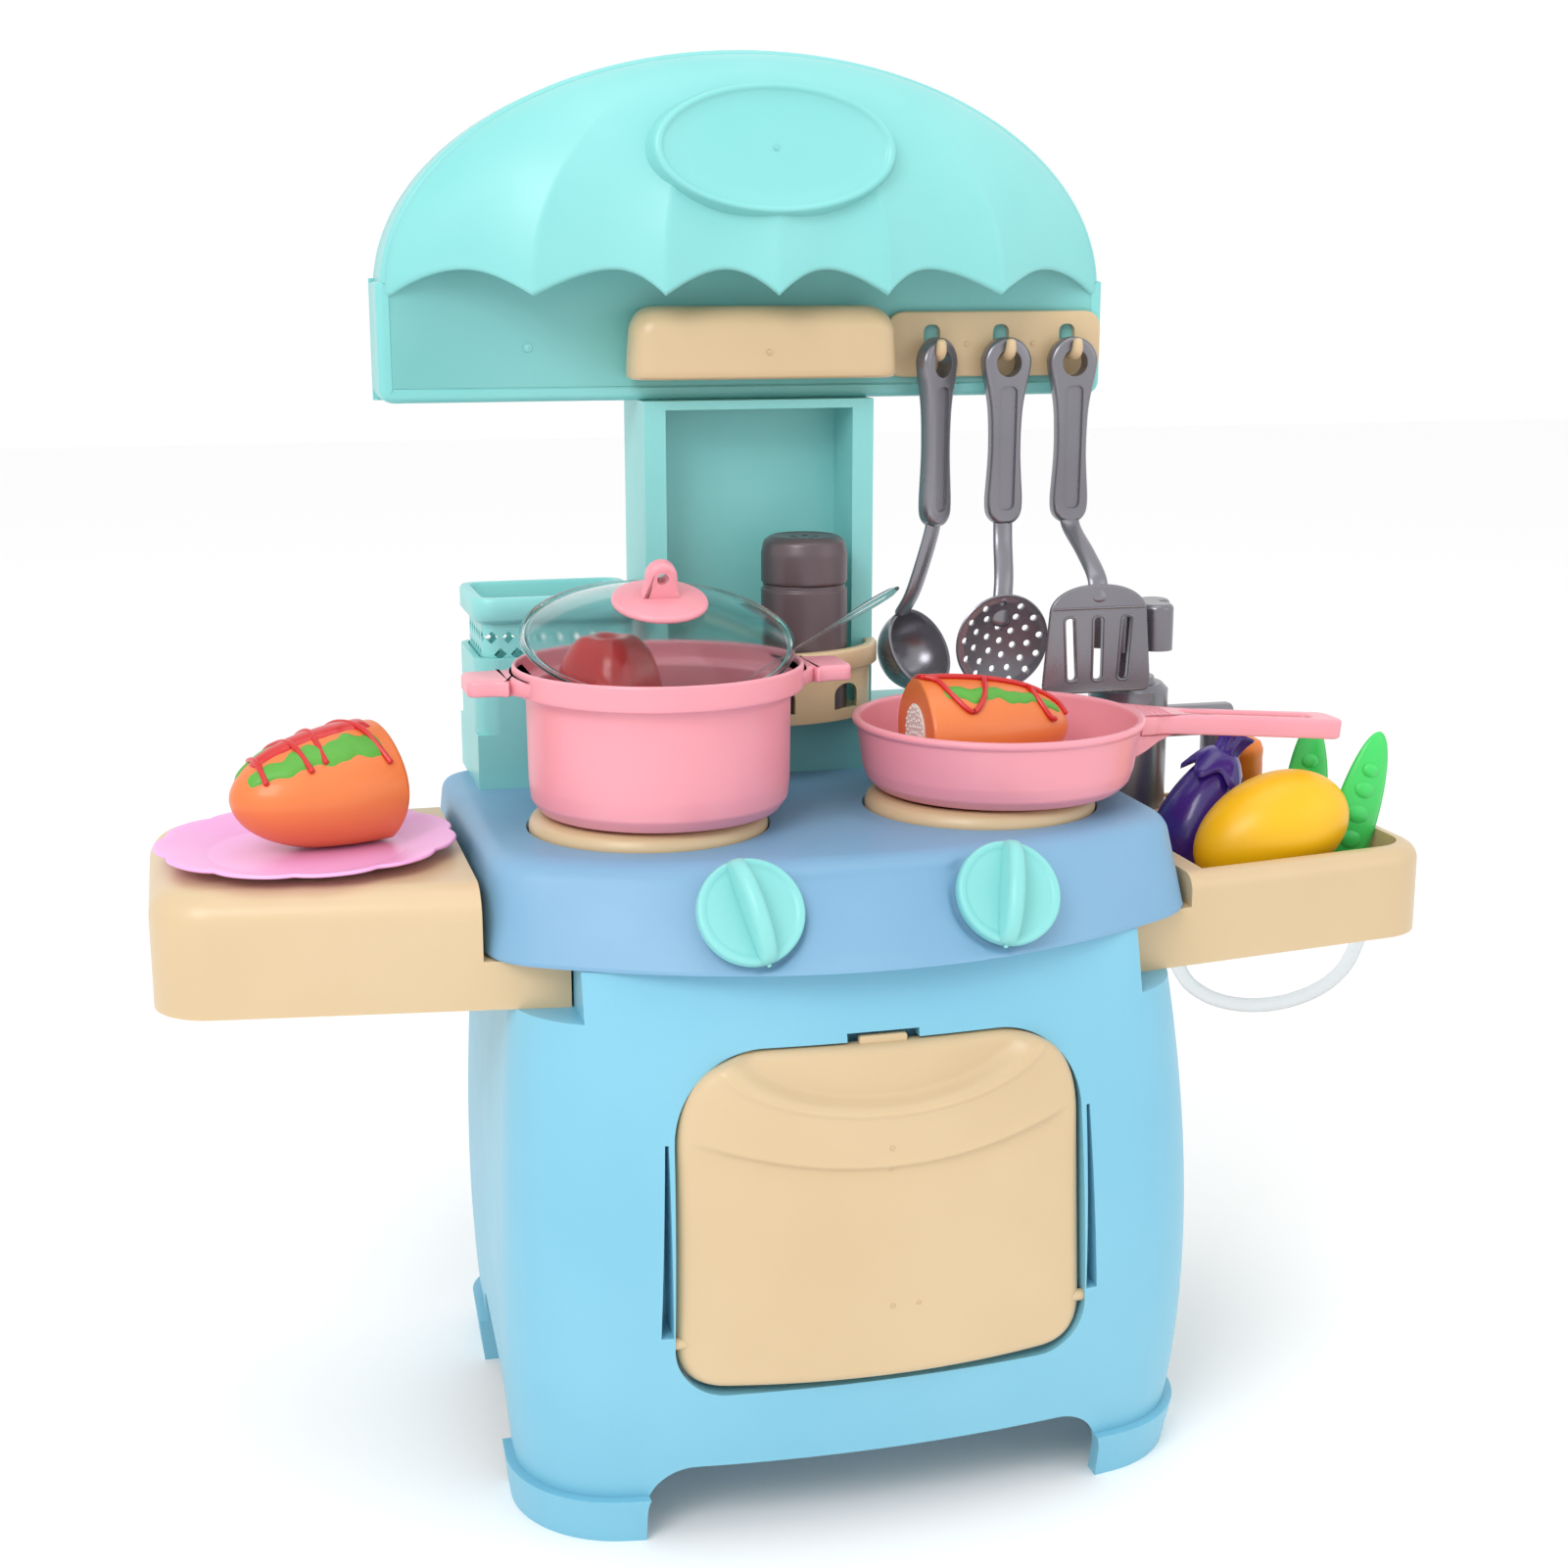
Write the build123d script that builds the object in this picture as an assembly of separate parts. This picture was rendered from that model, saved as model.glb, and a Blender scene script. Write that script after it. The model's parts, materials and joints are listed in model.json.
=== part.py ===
"""Toy kitchen with an umbrella canopy, an oven, two burners, a side tray and a pump-tap sink.

Millimetres. +X is the right-hand side, +Y the back and +Z up. The origin is on the floor,
under the middle of the whole kitchen.
"""
from build123d import *
import os
from math import cos, pi, radians, sin, sqrt, tan

os.makedirs("parts", exist_ok=True)

# ---- driving dimensions ----
HEIGHT = 600.0            # floor to the top of the canopy
HALF_SPAN = 279.0         # middle to the outer end of each side tray
BACK = 129.0              # rear faces of the column and canopy covers
WALL = 3.0                # moulded wall
FIT = 0.05                # radial running fit of a moulded pin
GAP = 0.4                 # clearance between loose pieces

CABINET_TOP = 238.0
CABINET_BACK = 121.0
CABINET_SEAM = 60.0       # the front and back halves of the cabinet meet here
BELLY_HEIGHT = 92.0       # the cabinet is widest and deepest here
BELLY_HALF_WIDTH = 150.0
BELLY_FRONT = -124.0
FOOT_BAND = 4.0           # the foot bands stand this far proud
FOOT_HEIGHT = 20.0

STOVE_TOP = 277.0
STOVE_HALF_WIDTH = 151.0
STOVE_FRONT = -122.0
STOVE_BACK = 121.0
BURNER_X = 74.0
BURNER_Y = -14.0
BURNER_RADIUS = 50.7
BURNER_TOP = 283.0

TRAY_FRONT = -50.0
TRAY_BACK = 87.0
TRAY_INNER = STOVE_HALF_WIDTH + 1
TONGUE_X = 118.0
TRAY_SLANT = 0.14         # the trays' front edges come forward this much per mm towards the stove
TONGUE_BACK = 60.0
TRAY_TOP = 268.0
TRAY_BOTTOM = 218.0
TRAY_ROUNDING = 13.0      # along the outer top edges of the left tray
SINK_RIM = 252.0
SINK_BOTTOM = 212.0
SINK_FLOOR = SINK_BOTTOM + WALL + 1
SINK_LIP = 9.0            # from the outside of the sink to its basin
SINK_ROUNDING = 7.5
TONGUE_BOTTOMS = {-1: TRAY_BOTTOM, 1: SINK_BOTTOM}

COLUMN_HALF_WIDTH = 54.0
COLUMN_FRONT = 83.0
COVER_FRONT = BACK - WALL
PLINTH_TOP = 302.0
PLINTH_FRONT = 65.0
CANOPY_BOTTOM = 447.0
CANOPY_FRONT = 93.0
CANOPY_HALF_WIDTH = 170.0
EAVES = 495.0             # height of the scallop tips
CUSPS = (-164, -106, -50, 0, 50, 106, 164)

HOOK_XS = (84.0, 118.0, 151.0)
HOOK_Z = 466.0
PEG_RADIUS = 2.6


# ---- helpers ----
def save(name, shape):
    """Write one node; its label is the node's name."""
    shape.label = name
    export_step(shape, f"parts/{name}.step")


def block(x_low, x_high, y_low, y_high, z_low, z_high):
    """A box between two corners."""
    size = Box(x_high - x_low, y_high - y_low, z_high - z_low)
    return Pos((x_low + x_high) / 2, (y_low + y_high) / 2, (z_low + z_high) / 2) * size


def upright(x, y, z_low, z_high, radius):
    """A vertical cylinder."""
    return Pos(x, y, (z_low + z_high) / 2) * Cylinder(radius, z_high - z_low)


def rod(start, end, radius):
    """A cylinder between two points."""
    start = Vector(*start)
    end = Vector(*end)
    plane = Plane(origin=start, z_dir=end - start)
    return extrude(plane * Circle(radius), amount=(end - start).length)


def turned(*points):
    """A turned body: the (radius, height) points, closed and revolved about Z."""
    outline = Polyline(*[(radius, 0, height) for radius, height in points], close=True)
    return revolve(make_face(outline), Axis.Z)


def front_sketch(sketch, y_low, y_high):
    """Extrude a sketch drawn in X and Z from y_low back to y_high."""
    plane = Plane(origin=(0, y_high, 0), x_dir=(1, 0, 0), z_dir=(0, -1, 0))
    return extrude(plane * sketch, amount=y_high - y_low)


def egg(radii, centre):
    """An ellipsoid with the given half lengths."""
    return Pos(*centre) * scale(Sphere(1), by=radii)


# ---- cabinet ----
def barrel(height, peak, low_drop, high_drop):
    """A side view that swells to peak at the belly and draws in above and below it."""
    if height < BELLY_HEIGHT:
        return peak - low_drop * ((BELLY_HEIGHT - height) / BELLY_HEIGHT) ** 2
    return peak - high_drop * ((height - BELLY_HEIGHT) / (CABINET_TOP - BELLY_HEIGHT)) ** 2


def cabinet_section(height, inset):
    """Plan of the cabinet at one height: bowed front, sides that converge, rounded corners."""
    half = barrel(height, BELLY_HALF_WIDTH, 6, 9) - inset
    front = -barrel(height, -BELLY_FRONT, 11, 19) + inset
    corner = front + 19
    back = CABINET_BACK - inset
    rear_half = half - 10
    outline = [
        ThreePointArc((-half, corner), (0, front), (half, corner)),
        Line((half, corner), (rear_half, back)),
        Line((rear_half, back), (-rear_half, back)),
        Line((-rear_half, back), (-half, corner)),
    ]
    plan = make_face(Curve() + outline)
    fronts = plan.vertices().filter_by(lambda v: v.Y < 0)
    plan = fillet(fronts, 44 - inset)
    backs = plan.vertices().filter_by(lambda v: v.Y > back - 1)
    plan = fillet(backs, 24 - inset)
    return Pos(0, 0, height) * plan


def cabinet_body(inset, low, high):
    """The cabinet's outside, or its inside when inset, with a step at each side for the tray tongue."""
    heights = (low, 46, BELLY_HEIGHT, 165, high)
    body = loft([cabinet_section(height, inset) for height in heights])
    for side in (-1, 1):
        inner = side * (TONGUE_X - 1 - inset)
        outer = side * HALF_SPAN
        step = block(min(inner, outer), max(inner, outer), -130, TONGUE_BACK + 40,
                     TONGUE_BOTTOMS[side] - inset, CABINET_TOP + 1)
        body -= step
    return body


DOOR_HALF_WIDTH = 86.5
DOOR_BOTTOM = 69.0
DOOR_TOP = 206.0
DOOR_BACK = -107.0
DOOR_FRONT = 1.7 - BACK
DOOR_TOP_CORNER = 36.0
DOOR_BOTTOM_CORNER = 20.0
DOOR_BOW = 284.0          # radius of the door's bowed face
DOOR_LEAN = 2.5           # degrees that the face leans back
DOOR_CHAMFER = 5.0        # along the foot of the face, so that it swings clear of the sill
DOOR_GAP = 1.0            # round the sides and top of the door
SILL_GAP = 3.5            # under the door
HINGE_Y = -114.0
HINGE_Z = 88.0
HINGE_RADIUS = 2.5
REBATE_BACK = -101.5
SWING_BACK = -90.0        # the foot of the door swings back to here as it opens
LATCH_HALF_WIDTH = 10.0


def door_outline(margin, below):
    """Front view of the oven door, grown by a margin and by another one below."""
    half = DOOR_HALF_WIDTH + margin
    low = DOOR_BOTTOM - below
    high = DOOR_TOP + margin
    outline = make_face(Polyline((-half, low), (half, low), (half - 3, high), (3 - half, high), close=True))
    tops = outline.vertices().filter_by(lambda v: v.Y > high - 1)
    outline = fillet(tops, DOOR_TOP_CORNER + margin)
    bottoms = outline.vertices().filter_by(lambda v: v.Y < low + 1)
    return fillet(bottoms, DOOR_BOTTOM_CORNER + margin)


def hinge_pin(radius, reach):
    """The door's two pegs, one each side."""
    inner = DOOR_HALF_WIDTH - 8
    return [rod((side * inner, HINGE_Y, HINGE_Z), (side * reach, HINGE_Y, HINGE_Z), radius)
            for side in (-1, 1)]


POST_X = 120.0
POST_HEIGHTS = (50.0, 200.0)
POST_FRONT = 20.0


def screw_post(side, height, inside):
    """A long post on the front half's side wall that takes a screw through the back."""
    post = rod((side * POST_X, POST_FRONT, height), (side * POST_X, CABINET_BACK - WALL - 0.5, height), 5)
    far = side * (BELLY_HALF_WIDTH + 1)
    web = block(min(side * POST_X, far), max(side * POST_X, far), POST_FRONT, CABINET_SEAM - 2,
                height - 1.5, height + 1.5)
    return (post + web) & inside


def cabinet_shell():
    """Both halves of the cabinet as one: walls, foot bands, arches, door rebate and oven mouth."""
    outside = cabinet_body(0, 0, CABINET_TOP)
    inside = cabinet_body(WALL, -1, CABINET_TOP - WALL)
    band = loft([cabinet_section(0, -FOOT_BAND), cabinet_section(FOOT_HEIGHT, -FOOT_BAND)])
    shell = outside + band - inside
    frame = block(-98, 98, -135, REBATE_BACK + WALL, DOOR_BOTTOM - 8, DOOR_TOP + 8) & outside
    shell += frame
    rebate = door_outline(DOOR_GAP, SILL_GAP)
    shell -= front_sketch(rebate, -140, REBATE_BACK)
    swing_room = Pos(0, HINGE_Z - 50) * Rectangle(200, 118)
    shell -= front_sketch(rebate & swing_room, -140, SWING_BACK)
    for side in (-1, 1):
        pocket = make_face(Polyline((side * 87.5, 92), (side * 92.5, 92), (side * 89, 171),
                                    (side * 87.5, 171), close=True))
        shell -= front_sketch(pocket, -140, REBATE_BACK)
    mouth = Pos(0, (DOOR_BOTTOM + DOOR_TOP) / 2) * RectangleRounded(152, 118, 12)
    shell -= front_sketch(mouth, -140, REBATE_BACK + 20)
    shell -= block(-15, 15, -116, REBATE_BACK, DOOR_TOP, DOOR_TOP + 4.5)
    for peg in hinge_pin(HINGE_RADIUS + FIT, DOOR_HALF_WIDTH + 5):
        shell -= peg
    arch_front = RectangleRounded(196, 66, 20)
    shell -= front_sketch(arch_front, -140, 140)
    side_arch = Pos(8, 0) * RectangleRounded(112, 86, 24)
    plane = Plane(origin=(-180, 0, 0), x_dir=(0, 1, 0), z_dir=(1, 0, 0))
    shell -= extrude(plane * side_arch, amount=360)
    for side in (-1, 1):
        for height in POST_HEIGHTS:
            shell += screw_post(side, height, inside)
    return shell


def oven_door():
    """A bowed hollow door with a scooped grip, a latch nose and two hinge pegs."""
    outer = front_sketch(door_outline(0, 0), -140, DOOR_BACK)
    bow = Cylinder(DOOR_BOW, 400)
    door = outer & Pos(0, DOOR_FRONT + DOOR_BOW, 110) * Rot(-DOOR_LEAN, 0, 0) * bow
    foot = DOOR_FRONT - DOOR_LEAN
    door -= Pos(0, foot, DOOR_BOTTOM) * Rot(45, 0, 0) * Box(200, DOOR_CHAMFER * sqrt(2), DOOR_CHAMFER * sqrt(2))
    hollow = front_sketch(door_outline(-WALL, -DOOR_CHAMFER), -140, DOOR_BACK)
    inner_bow = Pos(0, DOOR_FRONT + DOOR_BOW + WALL, 110) * Rot(-DOOR_LEAN, 0, 0) * bow
    scoop = front_sketch(Pos(0, DOOR_TOP + 2) * Ellipse(62, 23), -140, DOOR_BACK - 8)
    scoop_wall = front_sketch(Pos(0, DOOR_TOP + 2) * Ellipse(62 + WALL, 23 + WALL), -140, DOOR_BACK)
    door = door - (hollow & inner_bow - scoop_wall) - scoop
    door += block(-LATCH_HALF_WIDTH, LATCH_HALF_WIDTH, -112, -109, DOOR_TOP - 2, DOOR_TOP + 3)
    for peg in hinge_pin(HINGE_RADIUS, DOOR_HALF_WIDTH + 4.5):
        door += peg
    return door


# ---- stove top ----
def stove_outline(height, half, corner, front, radius):
    """Plan of the stove top at one height, with a bowed front edge."""
    back = STOVE_BACK - (STOVE_HALF_WIDTH - half)
    outline = [
        ThreePointArc((-half, corner), (0, front), (half, corner)),
        Line((half, corner), (half, back)),
        Line((half, back), (-half, back)),
        Line((-half, back), (-half, corner)),
    ]
    plan = make_face(Curve() + outline)
    return Pos(0, 0, height) * fillet(plan.vertices(), radius)


STOVE_CORNER = 18.0


def stove_body(inset):
    """The stove top's outside, or its inside when inset."""
    half = STOVE_HALF_WIDTH - inset
    low = stove_outline(CABINET_TOP - (1 if inset else 0), half, -72 + inset, STOVE_FRONT + inset, STOVE_CORNER)
    high = stove_outline(STOVE_TOP - inset, half - 4, -58 + inset, -94 + inset, STOVE_CORNER)
    return loft([low, high], ruled=True)


KNOB_X = 53.0
KNOB_TILT = 31.3          # the panel's normal rises this many degrees above the horizontal
KNOB_RADIUS = 21.5
PANEL_POINT = (-103.6, 260.0)


def knob_plane(side, proud):
    """A plane on the sloping panel at one knob, facing the cook and moved proud of it."""
    tilt = radians(KNOB_TILT)
    normal = (0, -cos(tilt), sin(tilt))
    origin = (side * KNOB_X, PANEL_POINT[0] + normal[1] * proud, PANEL_POINT[1] + normal[2] * proud)
    return Plane(origin=origin, x_dir=(1, 0, 0), z_dir=normal)


def stove_top():
    """Sloping-front stove top with two burner holes and two knob holes."""
    top = stove_body(0) - stove_body(WALL)
    for side in (-1, 1):
        top -= upright(side * BURNER_X, BURNER_Y, CABINET_TOP, STOVE_TOP + 5, BURNER_RADIUS + 0.3)
        top -= extrude(knob_plane(side, 8) * Circle(4 + FIT), amount=-30)
    for x in TAB_XS:
        top -= tab(x, 0.2)
    return top


def burner(side):
    """A domed ring that fills one hole from below."""
    r = BURNER_RADIUS
    disc = turned((0, 272), (r, 272), (r, 279.5), (r - 3, 282), (r - 8, BURNER_TOP), (r - 15, 282),
                  (r - 19, 279), (0, 279))
    flange = turned((0, 270), (r + 4, 270), (r + 4, STOVE_TOP - WALL), (0, STOVE_TOP - WALL))
    return Pos(side * BURNER_X, BURNER_Y, 0) * (disc + flange)


def knob(side, lean):
    """A disc with a tall turning ridge and a spindle through the panel."""
    plane = knob_plane(side, 1.6)
    disc = extrude(plane * Circle(KNOB_RADIUS), amount=5)
    ridge = plane.location * Rot(0, 0, lean) * Pos(0, 0, 9) * Box(8, 2 * KNOB_RADIUS - 1, 18)
    drum = plane.location * Cylinder(KNOB_RADIUS - 0.5, 60)
    ball = plane.location * Pos(0, 0, -5.5) * Sphere(sqrt(KNOB_RADIUS ** 2 + 5.5 ** 2) + 1.5)
    spindle = extrude(plane * Circle(4), amount=-16)
    return disc + (ridge & drum & ball) + spindle


def knob_washer(side):
    """The washer that holds a knob's spindle from inside the panel."""
    plane = knob_plane(side, -14.4)
    return extrude(plane * Circle(7), amount=-1.6)


# ---- side trays ----
def tray_front(x):
    """Depth of a tray's front edge at a distance x from the middle."""
    return TRAY_FRONT - TRAY_SLANT * (HALF_SPAN - x)


def tray_plan(side, inset):
    """Plan of a side tray: square next to the stove, rounded at its outer end."""
    inner = TRAY_INNER + inset
    outer = HALF_SPAN - inset
    plan = make_face(Polyline((side * inner, tray_front(inner) + inset), (side * outer, TRAY_FRONT + inset),
                              (side * outer, TRAY_BACK - inset), (side * inner, TRAY_BACK - inset),
                              close=True))
    ends = plan.vertices().filter_by(lambda v: abs(v.X) > outer - 1)
    return fillet(ends, 26 - inset)


def tray_body(side, inset, low, high):
    """A prism on the tray's plan between two heights."""
    return Pos(0, 0, low) * extrude(tray_plan(side, inset), amount=high - low, dir=(0, 0, 1))


def tongue(side):
    """The flat tongue that the stove top holds down on the cabinet's shoulder."""
    outer = TRAY_INNER + WALL
    plan = make_face(Polyline((side * TONGUE_X, tray_front(TONGUE_X)), (side * outer, tray_front(outer)),
                              (side * outer, TONGUE_BACK), (side * TONGUE_X, TONGUE_BACK), close=True))
    low = TONGUE_BOTTOMS[side]
    return Pos(0, 0, low) * extrude(plan, amount=CABINET_TOP - low, dir=(0, 0, 1))


def round_outer_top(body, side, radius):
    """Round the top edges of a tray, apart from the one that meets the stove."""
    top = body.faces().sort_by(Axis.Z)[-1]
    edges = [edge for edge in top.edges() if abs(edge.center().X - side * TRAY_INNER) > WALL + 1]
    return fillet(edges, radius)


def side_tray():
    """The left tray: a flat top with skirts, open below."""
    outer = round_outer_top(tray_body(-1, 0, TRAY_BOTTOM, TRAY_TOP), -1, TRAY_ROUNDING)
    inner = tray_body(-1, WALL, TRAY_BOTTOM - 1, TRAY_TOP - WALL)
    return outer - round_outer_top(inner, -1, TRAY_ROUNDING - WALL) + tongue(-1)


TAP_X = 178.0
TAP_Y = 66.0
TAP_RADIUS = 19.0
HOSE_DIAMETER = 6.5
NIPPLE_RADIUS = 4.0
NIPPLE_LENGTH = 9.0
HOSE_Y = -14.0
HOSE_ROUTE = [
    (168, HOSE_Y, 206), (172, HOSE_Y, 190), (187, HOSE_Y, 177), (208, HOSE_Y, 171),
    (230, HOSE_Y, 171.5), (250, HOSE_Y, 178.5), (262, HOSE_Y, 192), (265, HOSE_Y, 207),
]


def hose_nipple(end):
    """A push-on nipple in line with one end of the hose, through the sink's floor."""
    first = Vector(*HOSE_ROUTE[end])
    second = Vector(*HOSE_ROUTE[1 if end == 0 else -2])
    away = (first - second).normalized()
    return rod(tuple(first), tuple(first + away * NIPPLE_LENGTH), NIPPLE_RADIUS)


def sink_tray():
    """The right tray: an open basin inside a skirt, with a raised deck under the pump."""
    outer = round_outer_top(tray_body(1, 0, SINK_BOTTOM, SINK_RIM), 1, SINK_ROUNDING)
    basin = tray_body(1, SINK_LIP, SINK_FLOOR, SINK_RIM + 1)
    groove_top = SINK_RIM - SINK_ROUNDING
    groove = tray_body(1, WALL, SINK_BOTTOM - 1, groove_top) - tray_body(1, SINK_LIP - WALL, 0, SINK_RIM)
    deck = block(TRAY_INNER, 202, 44, TRAY_BACK, SINK_BOTTOM, SINK_RIM)
    deck_hollow = block(TRAY_INNER + WALL, 202 - WALL, 44 + WALL, TRAY_BACK - WALL,
                        SINK_BOTTOM - 1, SINK_RIM - WALL)
    tray = outer - basin - groove + deck - deck_hollow
    tray += tongue(1)
    for end in (0, -1):
        tray -= hose_nipple(end)
    return tray


def hose():
    """The clear hose: straight runs joined by arcs as large as the runs allow."""
    points = [Vector(*point) for point in HOSE_ROUTE]
    radii = []
    for before, here, after in zip(points, points[1:], points[2:]):
        turn = radians((here - before).get_angle(after - here))
        shorter = min((here - before).length, (after - here).length)
        radii.append(0.45 * shorter / tan(turn / 2))
    print("hose radii", [round(radius, 1) for radius in radii])
    path = FilletPolyline(*points, radius=radii)
    end_plane = Plane(origin=path @ 0, z_dir=path % 0)
    tube = sweep(end_plane * Circle(HOSE_DIAMETER / 2), path=path)
    print("hose length", round(path.length, 1), "volume", round(tube.volume),
          "expected", round(path.length * pi * HOSE_DIAMETER ** 2 / 4))
    return tube


# ---- pump tap ----
TAP_TOP = 312.0
KNOB_LOW = 329.0
TAP_TRAVEL = 12.0


def tap_body():
    """The pump's barrel: a closed cup with a hole for the stem and a side port for the spout."""
    barrel_wall = turned((0, SINK_RIM), (TAP_RADIUS, SINK_RIM), (TAP_RADIUS, TAP_TOP - 3),
                         (TAP_RADIUS - 3, TAP_TOP), (0, TAP_TOP))
    bore = turned((0, SINK_RIM + WALL), (TAP_RADIUS - WALL, SINK_RIM + WALL),
                  (TAP_RADIUS - WALL, TAP_TOP - WALL), (0, TAP_TOP - WALL))
    stem_hole = Pos(0, 0, TAP_TOP) * Cylinder(9 + FIT, 12)
    return Pos(TAP_X, TAP_Y, 0) * (barrel_wall - bore - stem_hole)


def tap_collar():
    """The ring round the stem on top of the barrel."""
    ring = turned((9.4, TAP_TOP), (13, TAP_TOP), (12, TAP_TOP + 3), (9.4, TAP_TOP + 3))
    return Pos(TAP_X, TAP_Y, 0) * ring


def tap_spout():
    """The arm and down-turned nozzle on the side of the barrel."""
    start = TAP_X + sqrt(TAP_RADIUS ** 2 - 8 ** 2)
    arm = block(start, 231, TAP_Y - 7, TAP_Y + 7, 284, 299)
    arm = fillet(arm.edges().filter_by(Axis.X), 5)
    nozzle = upright(224, TAP_Y, 274, 290, 6.5)
    throat = upright(224, TAP_Y, 273, 288, 4)
    barrel_room = upright(TAP_X, TAP_Y, 270, TAP_TOP, TAP_RADIUS)
    return arm + nozzle - throat - barrel_room


def tap_spring():
    """The return spring, wound round the plunger between the barrel's floor and the piston."""
    radius = 11.0
    turns = 5
    low = SINK_RIM + WALL + 1.2
    high = 281.0
    coil = Helix(pitch=(high - low) / turns, height=high - low, radius=radius)
    section = Plane(origin=coil @ 0, z_dir=coil % 0) * Circle(1)
    return Pos(TAP_X, TAP_Y, low) * sweep(section, path=coil, is_frenet=True)


def tap_plunger():
    """The stem and the piston that the spring pushes up."""
    stem = turned((0, 270), (6, 270), (6, 283), (9, 283), (9, KNOB_LOW), (0, KNOB_LOW))
    piston = turned((0, 283), (TAP_RADIUS - WALL - 0.6, 283), (TAP_RADIUS - WALL - 0.6, 287), (0, 287))
    return Pos(TAP_X, TAP_Y, 0) * (stem + piston)


def tap_knob():
    """The five-lobed flower that is pressed to pump."""
    flower = Circle(15)
    for lobe in range(5):
        angle = 2 * pi * lobe / 5 + pi / 10
        flower += Pos(14 * cos(angle), 14 * sin(angle)) * Circle(8)
    cap = extrude(flower, amount=22)
    cap = fillet(cap.faces().sort_by(Axis.Z)[-1].edges(), 2.5)
    return Pos(TAP_X, TAP_Y, KNOB_LOW) * cap


# ---- back frame, canopy and what hangs on them ----
BIN_LEFT = -135.0
BIN_RIGHT = -58.0
BIN_TOP = 336.0
RECESS_HALF_WIDTH = 44.0
RECESS_TOP = 443.0
RECESS_BACK = 113.0


def rounded_plan(x_low, x_high, y_low, y_high, radius):
    """A rectangle between two corners with rounded corners."""
    plan = RectangleRounded(x_high - x_low, y_high - y_low, radius)
    return Pos((x_low + x_high) / 2, (y_low + y_high) / 2) * plan


SCREW_SPOTS = (
    (-40, 290), (40, 290), (-47, 440), (47, 440),
    (-150, 462), (150, 462), (-90, 560), (90, 560),
    (-120, 200), (120, 200), (-120, 50), (120, 50),
)


def screw(x, z):
    """A pan-head screw into the back, pointing forward."""
    face = BACK if z > CABINET_TOP else CABINET_BACK
    head = rod((x, face - 2.2, z), (x, face - 0.2, z), 3.4)
    shank = rod((x, face - 12, z), (x, face - 2.2, z), 1.4)
    return head + shank


def screws():
    return [screw(x, z) for x, z in SCREW_SPOTS]


def without_screws(shape):
    """Cut every screw's own room out of a part."""
    for piece in screws():
        shape -= piece
    return shape


def bosses(spots, front):
    """Screw bosses inside a moulding, from a front wall back to the cover."""
    return [rod((x, front, z), (x, COVER_FRONT, z), 4.5) for x, z in spots]


TAB_XS = (-95.0, 95.0)


def tab(x, margin):
    """A tab under the plinth that drops into a slot in the stove top."""
    return block(x - 8 - margin, x + 8 + margin, PLINTH_FRONT + 0.3 - margin, PLINTH_FRONT + 2.7 + margin,
                 STOVE_TOP - 9, STOVE_TOP + 2)


def spigot(margin):
    """The tongue on top of the column that plugs into the canopy."""
    return block(-40 - margin, 40 + margin, 98 - margin, 124, CANOPY_BOTTOM - WALL, CANOPY_BOTTOM + 25)


def back_frame():
    """Column, plinth and the left bin as one moulding, open at the back."""
    plinth = block(BIN_LEFT, -BIN_LEFT, PLINTH_FRONT, COVER_FRONT, STOVE_TOP, PLINTH_TOP)
    column = block(-COLUMN_HALF_WIDTH, COLUMN_HALF_WIDTH, COLUMN_FRONT, COVER_FRONT,
                   STOVE_TOP, CANOPY_BOTTOM)
    recess = block(-RECESS_HALF_WIDTH, RECESS_HALF_WIDTH, COLUMN_FRONT - 1, RECESS_BACK,
                   PLINTH_TOP, RECESS_TOP)
    hollow = block(WALL - COLUMN_HALF_WIDTH, COLUMN_HALF_WIDTH - WALL, RECESS_BACK + WALL,
                   COVER_FRONT + 1, STOVE_TOP + WALL, CANOPY_BOTTOM - WALL)
    bin_plan = rounded_plan(BIN_LEFT, BIN_RIGHT, PLINTH_FRONT, COVER_FRONT, 10)
    bin_outer = Pos(0, 0, STOVE_TOP) * extrude(bin_plan, amount=BIN_TOP - STOVE_TOP)
    room_plan = rounded_plan(BIN_LEFT + WALL, BIN_RIGHT - WALL, PLINTH_FRONT + WALL, COVER_FRONT - WALL, 7)
    bin_room = Pos(0, 0, STOVE_TOP + WALL) * extrude(room_plan, amount=BIN_TOP)
    frame = plinth + column + bin_outer - recess - hollow - bin_room
    plinth_room = block(COLUMN_HALF_WIDTH + WALL, -BIN_LEFT - WALL, PLINTH_FRONT + WALL, COVER_FRONT - WALL,
                        STOVE_TOP - 1, PLINTH_TOP - WALL)
    frame -= plinth_room
    frame += spigot(0)
    for x in TAB_XS:
        frame += tab(x, 0)
    for boss in bosses(SCREW_SPOTS[:4], RECESS_BACK + 1):
        frame += boss
    return without_screws(frame)


def column_back_cover():
    """The flat cover screwed on behind the column and plinth."""
    cover = block(-COLUMN_HALF_WIDTH, COLUMN_HALF_WIDTH, COVER_FRONT, BACK, STOVE_TOP, CANOPY_BOTTOM - 0.3)
    return without_screws(cover)


def canopy_outline(inset):
    """Front view of the canopy: a straight band under half an ellipse."""
    half = CANOPY_HALF_WIDTH - inset
    band = Pos(0, (CANOPY_BOTTOM + EAVES + 6) / 2) * Rectangle(2 * half, EAVES + 6 - CANOPY_BOTTOM - 2 * inset)
    dome = Pos(0, EAVES) * Ellipse(half - 2, HEIGHT - EAVES - inset)
    above = Pos(0, EAVES + 100) * Rectangle(400, 200)
    return band + (dome & above)


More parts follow.
